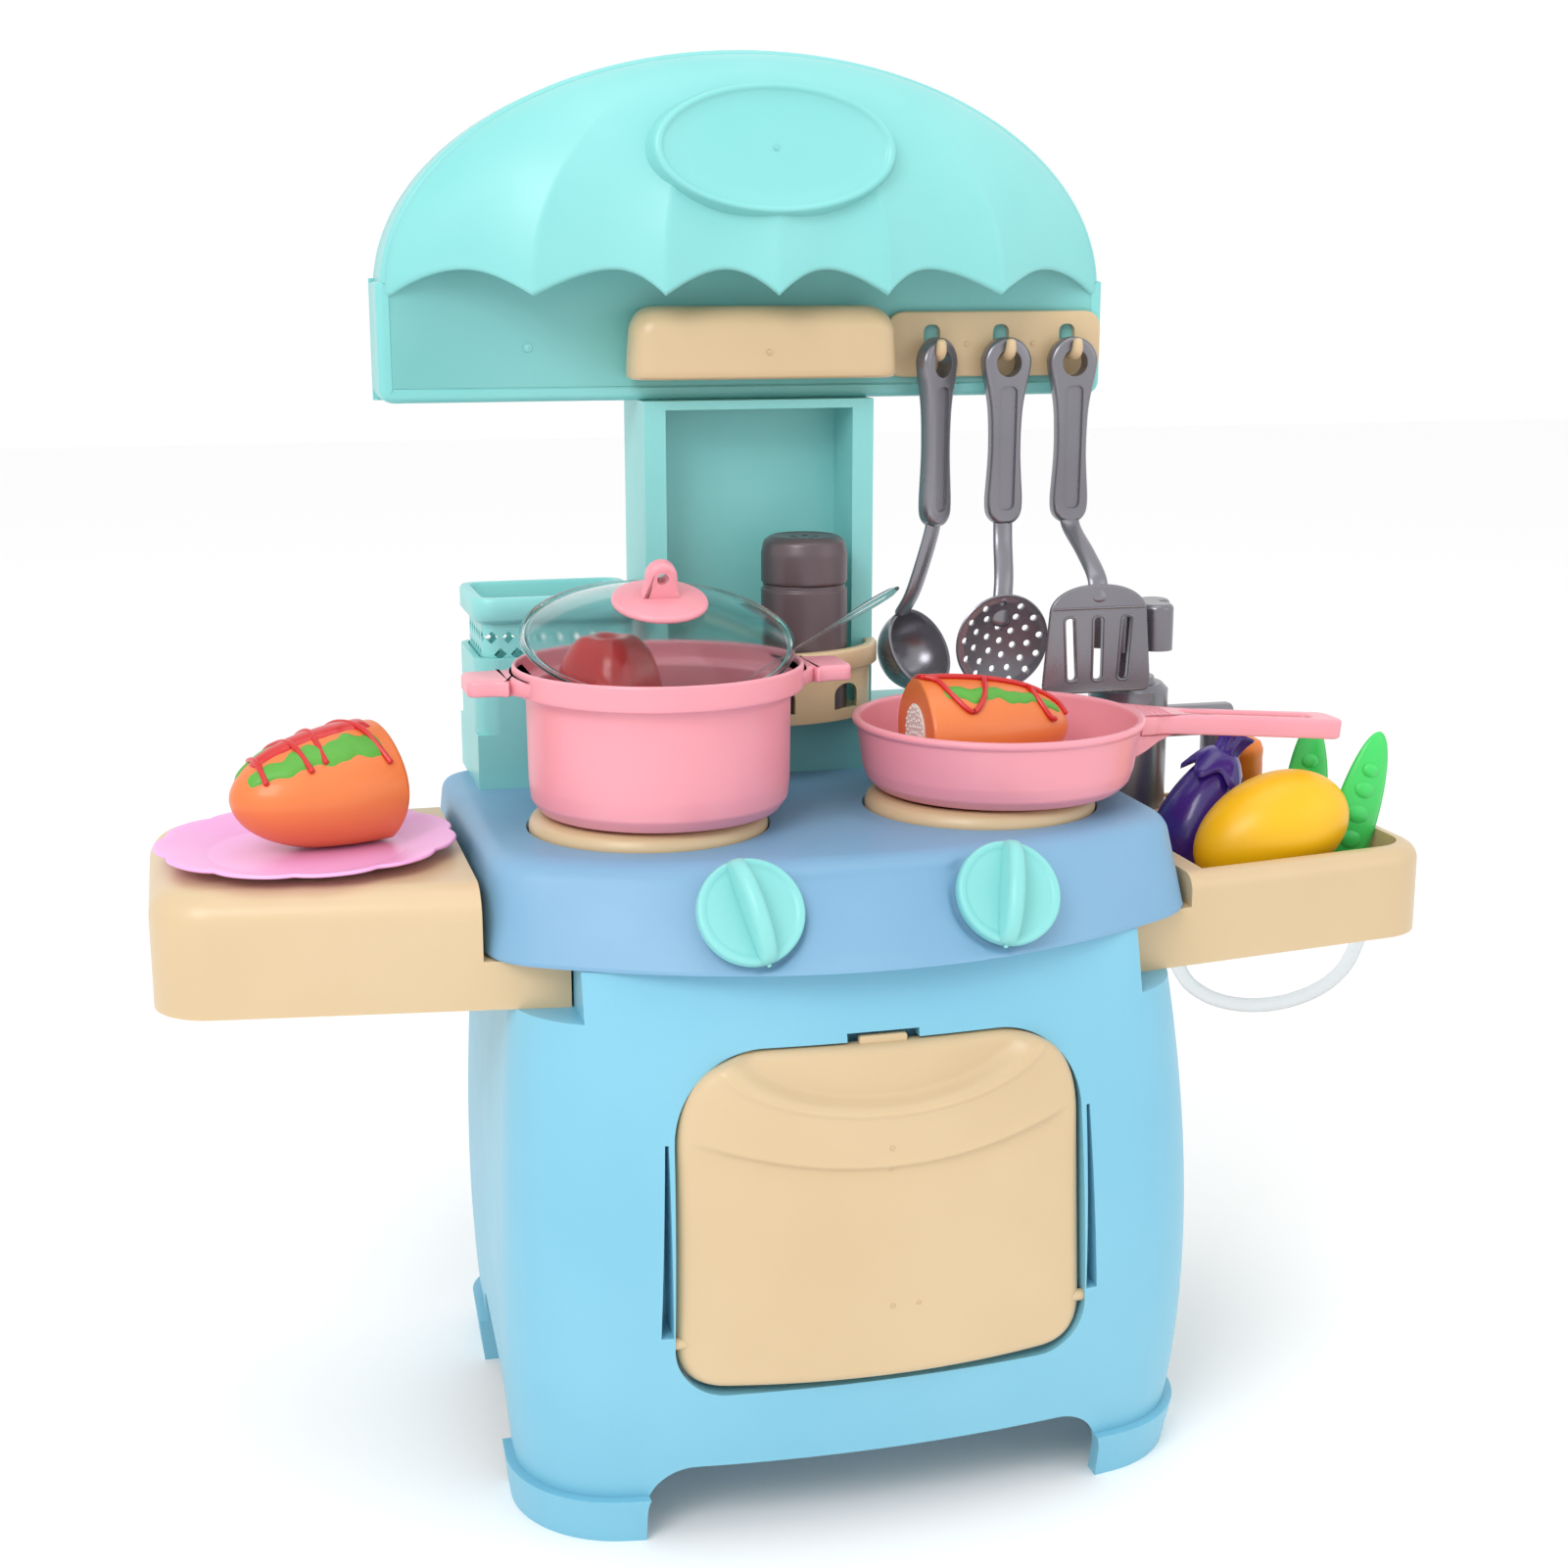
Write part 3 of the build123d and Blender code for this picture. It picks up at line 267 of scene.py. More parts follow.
def skin(rings, closed=True, cap_start=True, cap_end=True):
    """Points and faces of a surface through equal rings of points."""
    count = len(rings[0])
    points = [point for ring in rings for point in ring]
    faces = []
    for row in range(len(rings) - 1):
        for column in range(count if closed else count - 1):
            here = row * count + column
            beside = row * count + (column + 1) % count
            faces.append((here, beside, beside + count, here + count))
    if cap_start:
        faces.append(tuple(reversed(range(count))))
    if cap_end:
        faces.append(tuple(range((len(rings) - 1) * count, len(rings) * count)))
    return points, faces


def lathe(profile, count=96, rounding=0.0, wave=None):
    """A turned surface about Z; wave, if given, changes the radius with height and angle."""
    if rounding:
        profile = round_off(profile, rounding, closed=False)
    rings = []
    for radius, height in profile:
        ring = []
        for index in range(count):
            angle = 2 * math.pi * index / count
            reach = radius if wave is None else wave(radius, height, angle)
            ring.append((reach * math.cos(angle), reach * math.sin(angle), height))
        rings.append(ring)
    return skin(rings, cap_start=False, cap_end=False)


def rod(radius, low, high, count):
    """A plain round bar about Z."""
    return lathe([(0, low), (radius, low), (radius, high), (0, high)], count)


def ellipsoid(radii, rows=32, columns=64):
    """A closed ellipsoid about the origin."""
    profile = [(math.cos(a), math.sin(a)) for a in steps(-math.pi / 2, math.pi / 2, rows)]
    points, faces = lathe(profile, columns)
    return [(x * radii[0], y * radii[1], z * radii[2]) for x, y, z in points], faces


def slab(outline, back, front, edge, facing="front", dish=0.0, border=0.0, both=False):
    """A plate on an outline, with a rounded front edge and an optional sunk face inside a border.

    It faces forward, with its outline in X and Z, or up, with its outline in X and Y.
    """
    rings = []
    if both:
        for angle in steps(math.pi / 2, 0, 5):
            ring = inset(outline, edge * (1 - math.cos(angle)))
            rings.append([(u, v, back + edge * (1 - math.sin(angle))) for u, v in ring])
    else:
        rings.append([(u, v, back) for u, v in inset(outline, edge * 0.4)])
        rings.append([(u, v, back + edge * 0.4) for u, v in outline])
    for angle in steps(0, math.pi / 2, 5):
        ring = inset(outline, edge * (1 - math.cos(angle)))
        rings.append([(u, v, front - edge * (1 - math.sin(angle))) for u, v in ring])
    if border:
        rings.append([(u, v, front) for u, v in inset(outline, border)])
        rings.append([(u, v, front - dish * 0.4) for u, v in inset(outline, border + dish * 0.3)])
        rings.append([(u, v, front - dish) for u, v in inset(outline, border + dish)])
    points, faces = skin(rings)
    if facing == "front":
        points = [(u, -w, v) for u, v, w in points]
    return points, faces


def evenly(points, count):
    """A closed outline redrawn with evenly spaced points from its first one."""
    around = [Vector(point) for point in points] + [Vector(points[0])]
    lengths = [0]
    for start, end in zip(around, around[1:]):
        lengths.append(lengths[-1] + (end - start).length)
    out = []
    place = 0
    for want in steps(0, lengths[-1], count)[:-1]:
        while lengths[place + 1] < want:
            place += 1
        gap = lengths[place + 1] - lengths[place]
        out.append(tuple(around[place].lerp(around[place + 1], (want - lengths[place]) / gap)))
    return out


def slotted(outer, inner, low, high, edge):
    """A plate that lies flat, with one hole through it and all its edges rounded."""
    outer = evenly(outer, 240)
    inner = evenly(inner, 240)
    rings = []
    quarter = math.pi / 2
    for outline, turn, start in ((outer, edge, -quarter), (inner, -edge, quarter)):
        for angle in steps(start, -start, 8):
            height = low + edge if angle < 0 else high - edge
            flat = inset(outline, turn * (1 - math.cos(angle)))
            rings.append([(u, v, height + edge * math.sin(angle)) for u, v in flat])
    return skin(rings + rings[:1], cap_start=False, cap_end=False)


def tube(path, radii, count=16, flat=1.0, side=None):
    """A round or flattened bar along points, with rounded ends. radii is one number or one per point."""
    path = [Vector(point) for point in path]
    if not isinstance(radii, (list, tuple)):
        radii = [radii] * len(path)
    side = Vector(side or (1, 0, 0))
    stations = []
    for angle in steps(0, math.pi / 2, 4)[:-1]:
        stations.append((0, -math.cos(angle), math.sin(angle)))
    stations += [(index, 0, 1) for index in range(len(path))]
    for angle in reversed(steps(0, math.pi / 2, 4)[:-1]):
        stations.append((len(path) - 1, math.cos(angle), math.sin(angle)))
    rings = []
    for index, ahead, share in stations:
        along = (path[min(index + 1, len(path) - 1)] - path[max(index - 1, 0)]).normalized()
        across = (side - along * side.dot(along)).normalized()
        other = along.cross(across)
        centre = path[index] + along * ahead * radii[index] * 0.6
        ring = []
        for k in range(count):
            angle = 2 * math.pi * k / count
            ring.append(tuple(centre + (across * math.cos(angle) + other * math.sin(angle) * flat)
                              * radii[index] * share))
        rings.append(ring)
    return skin(rings)


def bend(points, count=8):
    """A smooth curve through points (Catmull-Rom)."""
    points = [Vector(point) for point in points]
    out = []
    for index in range(len(points) - 1):
        before = points[max(index - 1, 0)]
        start = points[index]
        end = points[index + 1]
        after = points[min(index + 2, len(points) - 1)]
        for t in steps(0, 1, count)[:-1]:
            out.append(0.5 * (2 * start + (end - before) * t
                              + (2 * before - 5 * start + 4 * end - after) * t ** 2
                              + (3 * start - before - 3 * end + after) * t ** 3))
    return out + [points[-1]]


def moved(part, place):
    """A part with its points carried by a matrix in millimetres."""
    points, faces = part
    return [tuple(place @ Vector(point)) for point in points], faces


def at(x, y, z, turn=(0, 0, 0)):
    """A place in millimetres, turned by degrees about X, then Y, then Z."""
    rx, ry, rz = (math.radians(angle) for angle in turn)
    spin = Matrix.Rotation(rz, 4, "Z") @ Matrix.Rotation(ry, 4, "Y") @ Matrix.Rotation(rx, 4, "X")
    return Matrix.Translation((x, y, z)) @ spin


def mark(x, y, z, radius=1.4):
    """The small round witness of a moulding gate on a face that looks forward."""
    profile = [(0, 0.5), (radius * 0.4, 0.45), (radius * 0.6, 0.15), (radius * 0.85, 0.35),
               (radius, 0), (0, -0.6)]
    return moved(lathe(profile, 20), at(x, y, z, (90, 0, 0)))


def build_mesh(name, parts):
    """A mesh in metres from parts in millimetres, welded and with its normals outwards."""
    build = bmesh.new()
    for points, faces in parts:
        corners = [build.verts.new(Vector(point) * MM) for point in points]
        for face in faces:
            build.faces.new([corners[index] for index in face])
    bmesh.ops.remove_doubles(build, verts=build.verts, dist=2e-6)
    bmesh.ops.dissolve_degenerate(build, edges=build.edges, dist=1e-6)
    bmesh.ops.recalc_face_normals(build, faces=build.faces)
    mesh = bpy.data.meshes.new(name)
    build.to_mesh(mesh)
    build.free()
    return mesh


def cut_away(piece, cutters):
    """Cut groups of closed parts out of a piece and keep the result as its mesh."""
    for index, group in enumerate(cutters):
        tool = bpy.data.objects.new(f"cutter_{index}", build_mesh("cutter", group))
        bpy.context.scene.collection.objects.link(tool)
        trim = piece.modifiers.new("trim", "BOOLEAN")
        trim.object = tool
        trim.solver = "EXACT"
        result = bpy.data.meshes.new_from_object(piece.evaluated_get(bpy.context.evaluated_depsgraph_get()))
        piece.modifiers.clear()
        piece.data = result
        bpy.data.objects.remove(tool)


def make_piece(name, parts, slot_name, body, replaced=(), sharp=38, cutters=()):
    """A piece of the kitchen: its mesh, its material, its body and the CAD nodes that it stands for."""
    piece = bpy.data.objects.new(name, build_mesh(name, parts))
    bpy.context.scene.collection.objects.link(piece)
    if cutters:
        cut_away(piece, cutters)
    piece.data.materials.clear()
    piece.data.materials.append(MATERIALS[slot_name])
    for polygon in piece.data.polygons:
        polygon.use_smooth = True
        polygon.material_index = 0
    piece.data.set_sharp_from_angle(angle=math.radians(sharp))
    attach(piece, body)
    if replaced:
        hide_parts(*replaced)


# ---------------------------------------------------------------- hose
def make_hose():
    """The clear hose that loops under the sink from the pump to the drain."""
    line = -14
    route = [
        (168, line, 206), (172, line, 190), (187, line, 177), (208, line, 171),
        (230, line, 171.5), (250, line, 178.5), (262, line, 192), (265, line, 207),
    ]
    curve = bpy.data.curves.new("sink_hose", "CURVE")
    curve.dimensions = "3D"
    curve.bevel_depth = 3.25 * MM
    curve.bevel_resolution = 6
    curve.resolution_u = 16
    spline = curve.splines.new("NURBS")
    spline.points.add(len(route) - 1)
    for point, place in zip(spline.points, route):
        point.co = (place[0] * MM, place[1] * MM, place[2] * MM, 1)
    spline.order_u = 3
    spline.use_endpoint_u = True
    hose = bpy.data.objects.new("sink_hose", curve)
    bpy.context.scene.collection.objects.link(hose)
    curve.materials.append(MATERIALS["clear_hose"])
    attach(hose, "kitchen")
    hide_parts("hose")


# ---------------------------------------------------------------- canopy
EAVES = 495
CROWN_RISE = 103
CUSPS = (-164, -106, -50, 0, 50, 106, 164)
CANOPY_FACE = 93


def awning_point(turn, hollow, shrink, height):
    """A point on the umbrella at a turn and a height, moved inwards by shrink."""
    rise = min(max((height - EAVES) / CROWN_RISE, 0), 1)
    level = math.sqrt(max(1 - rise * rise, 0))
    sag = 1 - 0.1 * hollow * level ** 0.7 * (1 - rise ** 1.5)
    x = (166 - shrink) * sag * level * math.sin(turn)
    y = CANOPY_FACE - (46 - shrink) * sag * level * math.cos(turn)
    return (x, y, height)


def awning_chain(turn, share):
    """One line up the umbrella: from the band, round the scalloped lip and up to the crown."""
    hollow = math.sin(math.pi * share) ** 0.9
    lip = EAVES + 11 * 4 * share * (1 - share)
    root = awning_point(turn, hollow, 3, lip + 9)
    chain = [(root[0] * 0.985, CANOPY_FACE + 1, lip + 9)]
    for shrink, above in ((9, 9), (5, 6), (4, 1.5)):
        chain.append(awning_point(turn, hollow, shrink, lip + above))
    for angle in steps(0, math.pi, 6):
        low = lip + 0.6 - 2 * math.sin(angle)
        chain.append(awning_point(turn, hollow, 2 + 2 * math.cos(angle), low))
    first = math.asin((lip - EAVES + 1.2) / CROWN_RISE)
    for angle in steps(first, math.pi / 2, 44):
        chain.append(awning_point(turn, hollow, 0, EAVES + CROWN_RISE * math.sin(angle)))
    return chain


def make_canopy():
    """Umbrella front: a flat band and six hollowed panels between ribs."""
    half = 170
    right = round_off([(0, 447), (half, 447), (half, EAVES + 4)], 7, closed=False)
    left = [(-x, z) for x, z in reversed(right)]
    turns = steps(0.045, math.pi - 0.045, 72)
    dome = [((half - 2) * math.cos(a), EAVES + 104.9 * math.sin(a)) for a in turns]
    flange = slab(left[:-1] + right + dome, -126, -CANOPY_FACE, 3, border=5.5, dish=0.8)
    cusp_turns = [math.asin(x / CUSPS[-1]) for x in CUSPS]
    chains = []
    for number, (start, end) in enumerate(zip(cusp_turns, cusp_turns[1:])):
        for share in steps(0, 1, 28)[(1 if number else 0):]:
            chains.append(awning_chain(mix(start, end, share), share))
    points, faces = skin(chains, closed=False, cap_start=False, cap_end=False)
    count = len(chains[0])
    faces.append(tuple(index * count for index in range(len(chains))) + (len(points) - 1,))
    make_piece("umbrella_canopy", [flange, (points, faces)], "mint_plastic", "kitchen", ["canopy_front"],
               sharp=50)


def make_badge():
    """The blank oval badge with a bead round its edge, and the canopy's two moulding marks."""
    plate = [(54 * math.cos(a), 28 * math.sin(a)) for a in steps(0, 2 * math.pi, 120)[:-1]]
    rings = []
    for shrink, height in ((-4, -26), (-1.5, -7), (-0.4, -3), (0, 0), (0.5, 0.9), (1.4, 1.2), (2.3, 0.9),
                           (2.9, 0), (3.6, -0.5), (10, -0.6)):
        rings.append([(x * (1 - shrink / 40), z * (1 - shrink / 28), height) for x, z in plate])
    lean = math.degrees(math.atan2(12, 56))
    badge = moved(skin(rings), at(0, 53, 556, (90 - lean, 0, 0)))
    marks = [mark(0, 53.4, 556), mark(-104, CANOPY_FACE + 0.6, 471, 2.2)]
    make_piece("umbrella_badge", [badge] + marks, "mint_plastic", "kitchen", sharp=50)


def make_hood():
    """The rounded hood on the band, with its soft top edge."""
    def ring(z, shrink, drop):
        flat = [(-61.6 + drop + shrink, CANOPY_FACE - 0.2), (-61.6 + drop + shrink, 66 - drop * 0.5 + shrink),
                (61.6 - drop - shrink, 66 - drop * 0.5 + shrink), (61.6 - drop - shrink, CANOPY_FACE - 0.2)]
        return [(x, y, z) for x, y in round_off(flat, 11)]

    rings = [ring(457, 2, 0), ring(457.4, 0.8, 0), ring(458.5, 0, 0)]
    for share in steps(0, 1, 6)[1:]:
        rings.append(ring(458.5 + 18 * share, 0, 1.0 * share ** 2))
    for angle in steps(0, math.pi / 2, 8)[1:]:
        rings.append(ring(476.5 + 12.5 * math.sin(angle), 10.5 * (1 - math.cos(angle)), 1.0))
    make_piece("hood_shell", [skin(rings), mark(0, 65.6, 469)], "tan_plastic", "kitchen", ["range_hood"],
               sharp=50)


def make_hook_rail():
    """The hook plate: rounded plate, key holes and three upturned hooks."""
    plan = round_off([(62.4, 456), (168, 456), (168, 486), (62.4, 486)], 9, count=8)
    plate = slab(plan, -CANOPY_FACE, -89.5, 1.2)
    holes = []
    hooks = []
    for x in (84, 118, 151):
        hole = round_off([(x - 4, 470), (x + 4, 470), (x + 4, 480), (x - 4, 480)], 4)
        holes.append(slab(hole, -96, -86, 0.1))
        path = bend([(x, 91, 466), (x, 84, 466), (x, 78.5, 466.3), (x, 76, 468.5), (x, 75.6, 472.5)], 6)
        hooks.append(tube(path, [2.6] * (len(path) - 6) + [2.5, 2.5, 2.4, 2.3, 2.2, 2.1]))
    make_piece("hook_plate", [plate], "tan_plastic", "kitchen", ["hook_rail"], cutters=[holes])
    make_piece("rail_hooks", hooks + [mark(101, 89.5, 471), mark(134, 89.5, 471)], "tan_plastic", "kitchen")


# ---------------------------------------------------------------- stove top and knobs
STOVE_LOW = 238
STOVE_HIGH = 277
PANEL_TILT = 31.3
PANEL_POINT = (-103.6, 260.0)
KNOB_X = 53
BURNER_X = 74
BURNER_Y = -14


def stove_ring(share, shrink):
    """One level of the stove top: share goes from its foot, 0, to its top, 1."""
    half = 151 - 4 * share - shrink
    corner = -72 + 14 * share + shrink
    front = -122 + 28 * share + shrink
    back = 121 - 4 * share - shrink
    bend_in = 17
    reach = half - bend_in

    def edge(x):
        return corner + (front - corner) * (1 - (x / half) ** 2)

    points = [(x, edge(x)) for x in steps(-reach, reach, 240)]
    corner_points = ((half, corner), (half, back), (-half, back), (-half, corner))
    ends = (((reach, edge(reach)), (half, corner + bend_in)), ((half, back - bend_in), (reach, back)),
            ((-reach, back), (-half, back - bend_in)), ((-half, corner + bend_in), (-reach, edge(reach))))
    for number, (middle, (start, end)) in enumerate(zip(corner_points, ends)):
        start, middle, end = Vector(start), Vector(middle), Vector(end)
        for t in steps(0, 1, 10)[1 if number == 0 else 0:(-1 if number == 3 else None)]:
            points.append(tuple(corner_point(start, middle, end, t)))
    return points


def press_panel(point):
    """Press the knob wells and the middle panel into the sloping front."""
    x, y, z = point
    if y > -80:
        return point
    tilt = math.radians(PANEL_TILT)
    up = (y - PANEL_POINT[0]) * math.sin(tilt) + (z - PANEL_POINT[1]) * math.cos(tilt)
    proud = -(y - PANEL_POINT[0]) * math.cos(tilt) + (z - PANEL_POINT[1]) * math.sin(tilt)
    push = 0
    for side in (-1, 1):
        distance = math.hypot(x - side * KNOB_X, up)
        well = smooth((24.5 - distance) / 2.2)
        push = max(push, well * max(1.4 + proud, 0) * (1 if proud > -6 else 0))
    middle = smooth((44 - abs(x)) / 9) * smooth((15.5 - up + 4 * smooth((abs(x) - 30) / 10)) / 3.5)
    push = max(push, 1.3 * middle * smooth((up + 27) / 8))
    return (x, y + push * math.cos(tilt), z - push * math.sin(tilt))


def make_stove():
    """Stove top with soft shoulders, a pressed front panel and two burner wells."""
    round_over = 9
    rings = [[(x, y, STOVE_LOW) for x, y in stove_ring(0, 2.5)]]
    rings.append([(x, y, STOVE_LOW + 0.5) for x, y in stove_ring(0, 0.8)])
    rings.append([(x, y, STOVE_LOW + 1.6) for x, y in stove_ring(0.04, 0)])
    shares = steps(0.06, 1 - round_over / 48, 28)
    for share in shares:
        rings.append([(x, y, mix(STOVE_LOW, STOVE_HIGH, share)) for x, y in stove_ring(share, 0)])
    last = shares[-1]
    start = stove_ring(last, 0)
    peak = stove_ring(1, 0)
    flat = stove_ring(1, round_over)
    for t in steps(0, 1, 12)[1:]:
        ring = []
        for a, b, c in zip(start, peak, flat):
            low = Vector((*a, mix(STOVE_LOW, STOVE_HIGH, last)))
            edge = Vector((*b, STOVE_HIGH))
            inner = Vector((*c, STOVE_HIGH))
            ring.append(tuple(corner_point(low, edge, inner, t)))
        rings.append(ring)
    rings = [[press_panel(point) for point in ring] for ring in rings]
    wells = []
    for side in (-1, 1):
        well = [(0, 269), (51, 269), (51, 276.2), (52, 277.6), (52, 290), (0, 290)]
        wells.append(moved(lathe(well, 128), at(side * BURNER_X, BURNER_Y, 0)))
    make_piece("stove_shell", [skin(rings)], "stove_plastic", "kitchen", ["stove_top"], sharp=50,
               cutters=[wells])


def make_burners():
    """Burner rings: a rounded bead that dips to a flat plate in the middle."""
    for name, side in (("left", -1), ("right", 1)):
        profile = [(0, 270.5), (50.4, 270.5), (50.4, 278.5), (49, 281.3), (46, 282.8), (42.7, 283),
                   (38, 282.4), (34, 280.4), (31, 279.2), (12, 279), (11, 279.8), (9, 279.8), (8, 279),
                   (0, 279)]
        part = moved(lathe(profile, 128, rounding=1.2), at(side * BURNER_X, BURNER_Y, 0))
        make_piece(f"burner_{name}_ring", [part], "tan_plastic", "kitchen", [f"burner_{name}"])


def make_knobs():
    """Control knobs: a dished disc with a tall arched grip."""
    for name, side, lean in (("left", -1, 12), ("right", 1, -12)):
        disc = lathe([(0, 1.6), (21.5, 1.6), (21.5, 5.6), (20.6, 6.9), (18.8, 6.6), (17.6, 6.0), (0, 5.8)],
                     96, rounding=0.7)
        spindle = rod(4, -14.4, 3, 32)
        rings = []
        for s in steps(-1, 1, 40):
            angle = s * math.pi / 2
            along = 21.6 * math.sin(angle)
            top = 4 + 14 * max(math.cos(angle), 0.0) ** 0.75
            width = mix(2.6, 4.3, math.cos(angle) ** 0.6)
            ring = [(-width, along, 4)]
            ring.append((-width * 0.96, along, mix(4, top, 0.55)))
            for turn in steps(math.pi, 0, 8):
                ring.append((width * 0.82 * math.cos(turn), along,
                             max(top - width * 0.7, 4) + min(width * 0.7, top - 4) * math.sin(turn)))
            ring.append((width * 0.96, along, mix(4, top, 0.55)))
            ring.append((width, along, 4))
            rings.append(ring)
        grip = moved(skin(rings), at(0, 0, 0, (0, 0, lean)))
        nib = moved(tube([(0, -20.6, 3.5), (0, -22.2, 3.5)], 0.9), at(0, 0, 0, (0, 0, lean)))
        place = at(side * KNOB_X, PANEL_POINT[0], PANEL_POINT[1], (90 - PANEL_TILT, 0, 0))
        parts = [moved(part, place) for part in (disc, spindle, grip, nib)]
        make_piece(f"control_knob_{name}", parts, "mint_plastic", f"{name}_knob", [f"knob_{name}"], sharp=55)


# ---------------------------------------------------------------- oven door
DOOR_HALF = 86.5
DOOR_LOW = 69
DOOR_HIGH = 206
DOOR_BACK = -107


def door_front(x, z):
    """Depth of the door's face: bowed, with a scooped grip and a smile-shaped crease."""
    face = -127.3 + 0.0437 * (z - 110) + x * x / 568
    scoop = 1 - math.hypot(x / 67, (208 - z) / 27)
    face += 7.2 * smooth(scoop / 0.2)
    face -= 0.9 * math.exp(-((scoop + 0.04) / 0.035) ** 2)
    crease = 159 + 14 * (x / 80) ** 2
    below = crease - z
    fade = smooth((82 - abs(x)) / 16)
    if below > 0:
        face += 2.2 * fade * smooth(below / 2.4) * math.exp(-below / 20)
    face -= 0.5 * fade * math.exp(-(below / 2.2) ** 2)
    return face


def make_door():
    """The oven door with its own hinge pegs and latch nose."""
    top_half = DOOR_HALF - 3
    corners = [(-DOOR_HALF, DOOR_LOW), (DOOR_HALF, DOOR_LOW), (top_half, DOOR_HIGH), (-top_half, DOOR_HIGH)]
    outline = []
    for index, radius in enumerate((20, 20, 38, 38)):
        here = Vector(corners[index])
        before = Vector(corners[index - 1])
        after = Vector(corners[(index + 1) % 4])
        start = here + (before - here).normalized() * radius
        end = here + (after - here).normalized() * radius
        for t in steps(0, 1, 16):
            outline.append(tuple(corner_point(start, here, end, t)))
    outline = divide(outline, 1.5)
    edge = 4.5
    centre = Vector((0, 132))
    rings = [[(x, DOOR_BACK, z) for x, z in inset(outline, 1)], [(x, DOOR_BACK - 1, z) for x, z in outline]]
    for angle in steps(0, math.pi / 2, 8):
        flat = inset(outline, edge * (1 - math.cos(angle)))
        rings.append([(x, door_front(x, z) + edge * (1 - math.sin(angle)), z) for x, z in flat])
    rim = inset(outline, edge)
    for share in steps(1, 0.012, 96)[1:]:
        ring = [centre.lerp(Vector(point), share) for point in rim]
        rings.append([(x, door_front(x, z), z) for x, z in ring])
    parts = [skin(rings)]
    nose = round_off([(-10, 202), (10, 202), (10, 209), (-10, 209)], 1.5)
    parts.append(slab(nose, 108.5, 112, 0.8))
    for side in (-1, 1):
        peg = [(side * 80, -114, 88), (side * 89.5, -114, 88)]
        parts.append(tube(peg, 2.5, side=(0, 0, 1)))
    parts += [mark(0, door_front(0, z), z, 1.1) for z in (166, 157, 100)]
    parts.append(mark(11, door_front(11, 100), 100, 0.9))
    make_piece("oven_door_panel", parts, "tan_plastic", "door", ["oven_door"], sharp=60)


# ---------------------------------------------------------------- pot, lid, pepper and spoon
POT_X = -69
LID_PLACE = at(POT_X, BURNER_Y, 354.9, (16.5, 0, 0))


def make_pot():
    """The pot: rolled rim with a ledge for the lid, and two side handles that flare into it."""
    profile = [(0, 283.3), (44, 283.3), (50.5, 284.6), (54, 289.5), (54.8, 297), (55.2, 332), (56.5, 334.6),
               (60.3, 335.2), (60.75, 336.8), (60.75, 345.2), (59.9, 346.2), (58.8, 345.4), (58.5, 338.4),
               (57.6, 337.6), (53.4, 337.3), (52.5, 336.2), (52, 297), (50.4, 290), (46, 286.9), (0, 286.3)]
    parts = [lathe(profile, 144, rounding=0.9)]
    for side in (0, 180):
        reach = [(60 * math.cos(a), 60 * math.sin(a)) for a in steps(math.radians(24), math.radians(-24), 10)]
        grip = round_off([(64, -17), (68, -13), (81, -13), (81, 13), (68, 13), (64, 17)], 5)
        handle = slab(grip + reach, 336.4, 343, 1.8, facing="up")
        parts.append(moved(handle, at(0, 0, 0, (0, 0, side))))
    place = at(POT_X, BURNER_Y, 0)
    make_piece("pot_body", [moved(part, place) for part in parts], "pink_plastic", "pot", ["pot"], sharp=50)


def dome_profile(radius, height, count=20):
    """The (radius, height) points of a spherical cap from its rim to its top."""
    ball = (radius ** 2 + height ** 2) / (2 * height)
    full = math.asin(radius / ball)
    return [(ball * math.sin(a), height - ball + ball * math.cos(a)) for a in steps(full, 0, count)]


def make_lid():
    """The clear dome with a flange round its edge, and the pink knob on it."""
    outer = dome_profile(55.2, 15)
    inner = dome_profile(53.8, 13.4)
    profile = [(57.2, 1.6), (56, 1.9)] + [(r, z + 1) for r, z in outer]
    profile += [(r, z + 1) for r, z in reversed(inner)] + [(53.6, 0.2), (57.2, 0.2), (57.2, 1.6)]
    lid = moved(lathe(profile, 128), LID_PLACE)
    make_piece("lid_glass", [lid], "clear_plastic", "lid", ["pot_lid"], sharp=40)
    disc = lathe([(0, 16.2), (19.6, 16.2), (20.2, 17.3), (19.6, 18.9), (16, 19.6), (11, 20.4), (0, 20.8)],
                 80, rounding=0.8)
    arch = [(-9, 18.6), (9, 18.6), (7, 23), (6.4, 29)]
    arch += [(6.4 * math.cos(a), 29 + 6.4 * math.sin(a)) for a in steps(0.2, math.pi - 0.2, 14)]
    arch += [(-6.4, 29), (-7, 23)]
    grip = slab(round_off(arch, 1.2, count=2), -4, 4, 2.2, both=True)
    eye = moved(rod(2.5, -9, 9, 28), at(0, 0, 29, (90, 0, 0)))
    make_piece("lid_grip", [moved(grip, LID_PLACE)], "pink_plastic", "lid", ["lid_knob"],
               cutters=[[moved(eye, LID_PLACE)]])
    make_piece("lid_knob_disc", [moved(disc, LID_PLACE)], "pink_plastic", "lid")


